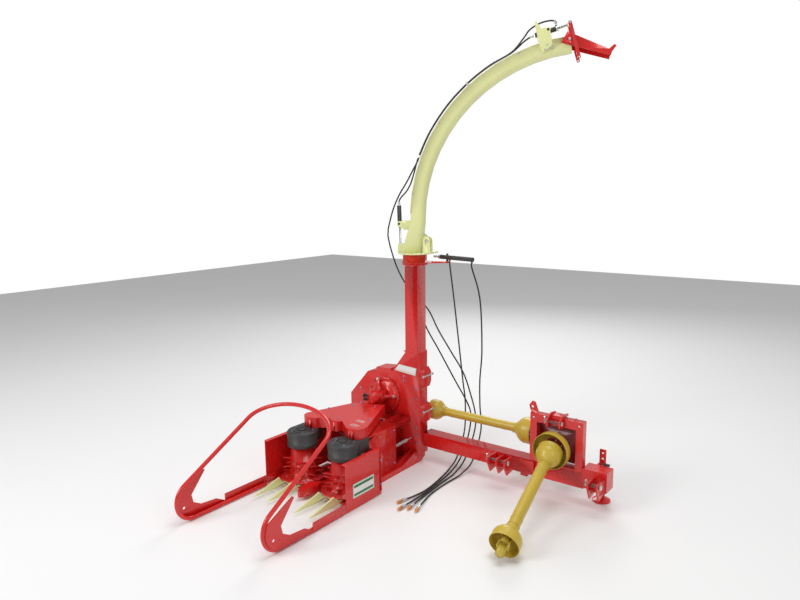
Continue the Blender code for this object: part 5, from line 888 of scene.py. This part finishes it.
# ---- Gathering drums ----------------------------------------------------------------------
# Two counter-turning drums of stacked toothed rings over saw-edged cutter discs, under black moulded caps
# with a rolled brim, a raised ring and a central boss.
DRUM_Y, DRUM_SPREAD = -0.950, 0.464
CAP_LOW, CAP_HIGH = 0.331, 0.4617
for side, name in ((-1, "outer"), (1, "inner")):
    x = HEADER_MIDDLE + side * DRUM_SPREAD / 2
    cleaned(name + "_gathering_drum", RED)
    cleaned(name + "_drum_cap", BLACK)
    cleaned(name + "_lifter_fingers", CREAM)
    middle = at(x, DRUM_Y, 0)
    brim = [(0.100, CAP_HIGH - 0.004), (0.110, CAP_HIGH + 0.0005), (0.118, CAP_HIGH - 0.002),
            (0.1205, CAP_HIGH - 0.008), (0.112, CAP_HIGH - 0.012), (0.100, CAP_HIGH - 0.010)]
    ring = [(0.058, CAP_HIGH - 0.004), (0.058, CAP_HIGH + 0.004), (0.062, CAP_HIGH + 0.006),
            (0.070, CAP_HIGH + 0.006), (0.074, CAP_HIGH + 0.003), (0.074, CAP_HIGH - 0.004)]
    boss = [(0, CAP_HIGH - 0.004), (0.034, CAP_HIGH - 0.004), (0.034, CAP_HIGH + 0.008),
            (0.028, CAP_HIGH + 0.013), (0.016, CAP_HIGH + 0.0135), (0.014, CAP_HIGH + 0.010),
            (0, CAP_HIGH + 0.010)]
    band = [(0.124, CAP_LOW + 0.004), (0.1265, CAP_LOW + 0.006), (0.1275, CAP_LOW + 0.026),
            (0.1225, CAP_LOW + 0.030), (0.120, CAP_LOW + 0.024), (0.120, CAP_LOW + 0.004)]
    piece(name + "_cap_mouldings", [turned(p, middle, (0, 0, 1), 64) for p in (brim, ring, boss, band)],
          BLACK, "root")
    nuts = [(middle + (0.090 * cos(a), 0.090 * sin(a), CAP_HIGH), (0, 0, 1))
            for a in np.linspace(0.5, 0.5 + 2 * pi, 5, endpoint=False)]
    bolts(name + "_cap_bolts", nuts, "root", BLUE_HIGHLIGHT_BOLT_METAL, 0.0065)
    teeth = np.linspace(0, 2 * pi, 72, endpoint=False)
    profile = np.where(np.arange(72) % 2 == 0, 0.1895, 0.1820)
    rim = np.column_stack([profile * np.cos(teeth), profile * np.sin(teeth)])
    inner = np.column_stack([0.150 * np.cos(teeth), 0.150 * np.sin(teeth)])
    layers = [np.column_stack([inner, np.full(72, 0.0665)]), np.column_stack([rim, np.full(72, 0.0640)]),
              np.column_stack([rim, np.full(72, 0.0615)]),
              np.column_stack([inner, np.full(72, 0.0585)])]
    saw = np.concatenate(layers) + middle
    piece(name + "_saw_edge", [(saw, quads(4, 72, True))], ZINC, name + "_drum", 20)

# ---- Dividers and hoop --------------------------------------------------------------------
# One bent tube runs round both divider noses and arches over the crop; plate gussets fill its bends.
for node in ("outer_divider", "inner_divider"):
    cleaned(node, RED)
HOOP_RADIUS, NOSE_BEND = 0.0165, 0.148
LEFT = -2.495 + 0.008 + SEAT + HOOP_RADIUS
RIGHT = -1.585 - 0.008 - SEAT - HOOP_RADIUS
ARCH_Y, ARCH_Z = -1.360, 0.635


def nose(x, nose_y):
    """The hoop's bend round a nose: centre + bend * (cos t, sin t), from the ground to its slope."""
    rise, run = ARCH_Z - NOSE_BEND - HOOP_RADIUS, ARCH_Y - nose_y
    leave = atan2(rise, run) + np.arccos(NOSE_BEND / np.hypot(run, rise))
    turn = np.linspace(-pi / 2, leave - 2 * pi, 22)
    return np.column_stack([np.full(22, x), nose_y + NOSE_BEND * np.cos(turn),
                            NOSE_BEND + HOOP_RADIUS + NOSE_BEND * np.sin(turn)])


arch = np.linspace(0, pi, 41)
over = np.column_stack([(LEFT + RIGHT) / 2 - (RIGHT - LEFT) / 2 * np.cos(arch),
                        ARCH_Y + 0.215 * np.sin(arch), ARCH_Z + 0.130 * np.sin(arch)])
outer_side, inner_side = nose(LEFT, -1.905), nose(RIGHT, -1.830)


def between(start, end, count):
    """Points evenly along a straight run, without its ends."""
    return np.linspace(start, end, count + 2)[1:-1]


hoop_line = np.concatenate([[(LEFT, -1.200, HOOP_RADIUS)],
                            between((LEFT, -1.200, HOOP_RADIUS), outer_side[0], 10), outer_side,
                            between(outer_side[-1], over[0], 8), over,
                            between(over[-1], inner_side[-1], 8), inner_side[::-1],
                            between(inner_side[0], (RIGHT, -1.200, HOOP_RADIUS), 10),
                            [(RIGHT, -1.200, HOOP_RADIUS)]])
hoop = piece("crop_hoop_tube", [swept(hoop_line + TOOLBAR, HOOP_RADIUS, 20)], RED, "root", 50)
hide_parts("crop_hoop")

# ---- Feed rollers -------------------------------------------------------------------------
# Fluted steel rollers inside the feed housing, in bright plated metal.
for node in ("upper_feed_roller", "lower_feed_roller"):
    cleaned(node, ZINC)

# ---- Parking stand ------------------------------------------------------------------------
# A flat drilled leg through the end box, on a dished round foot, held by a pin under a black clip.
cleaned("parking_stand", RED)
clip = at(-0.055, 0.150, 0.3125)
piece("stand_clip", [slab(clip - (0.018, 0.012, -0.0004), clip + (0.018, 0.012, 0.014)),
                     turned([(0, 0), (0.006, 0), (0.006, 0.030), (0, 0.0305)], clip + (-0.016, 0, 0.008),
                            (-1, 0, 0), 14)], BLACK, "root")

# ---- Floor and light ----------------------------------------------------------------------
# A plain pale floor under broad soft lights, brightest from the front and above.
FLOOR_SIZE, FLOOR_HEIGHT = 30.0, -0.0005
AMBIENT = 0.42                                   # how far the white surroundings light the machine
floor = bpy.data.objects.new("studio_floor", bpy.data.meshes.new("studio_floor"))
reach = FLOOR_SIZE / 2
corners = [(-reach, -reach, FLOOR_HEIGHT), (reach, -reach, FLOOR_HEIGHT), (reach, reach, FLOOR_HEIGHT),
           (-reach, reach, FLOOR_HEIGHT)]
floor.data.from_pydata(corners, [], [(0, 1, 2, 3)])
floor_paint, floor_sockets, floor_wire, floor_place = shade("studio_floor_paint")
feed(floor_wire, floor_sockets, Base_Color=tint(floor_wire, noise(floor_wire, floor_place, 0.4),
                                                (0.90, 0.90, 0.90), (0.94, 0.94, 0.94)))
floor_sockets["Roughness"].default_value = 0.8
floor.data.materials.append(floor_paint)
scene.collection.objects.link(floor)

world = bpy.data.worlds.new("studio")
scene.world = world
world.use_nodes = True
backdrop = world.node_tree.nodes["Background"]
backdrop.inputs["Color"].default_value = (1.0, 1.0, 1.0, 1)
seen = world.node_tree.nodes.new("ShaderNodeLightPath")
level = world.node_tree.nodes.new("ShaderNodeMapRange")
level.inputs["To Min"].default_value = AMBIENT
level.inputs["To Max"].default_value = 1.0
world.node_tree.links.new(seen.outputs["Is Camera Ray"], level.inputs["Value"])
world.node_tree.links.new(level.outputs["Result"], backdrop.inputs["Strength"])


def lamp(name, place, aim, size, power):
    """A square soft light at a place, turned to its aim."""
    made = bpy.data.objects.new(name, bpy.data.lights.new(name, "AREA"))
    made.data.size = size
    made.data.energy = power
    made.location = place
    made.rotation_euler = (Vector(aim) - Vector(place)).to_track_quat("-Z", "Y").to_euler()
    scene.collection.objects.link(made)


lamp("front_light", (-3.5, -7.0, 5.5), (0, 0, 1.0), 3.5, 270)
lamp("side_light", (6.5, -2.5, 4.0), (0, 0, 1.0), 3.0, 60)
lamp("top_light", (0.5, 0.5, 8.0), (0, 0, 0), 4.0, 210)
lamp("back_light", (-3.0, 6.5, 5.0), (0, 0, 1.5), 3.0, 150)
scene.view_settings.view_transform = "Standard"
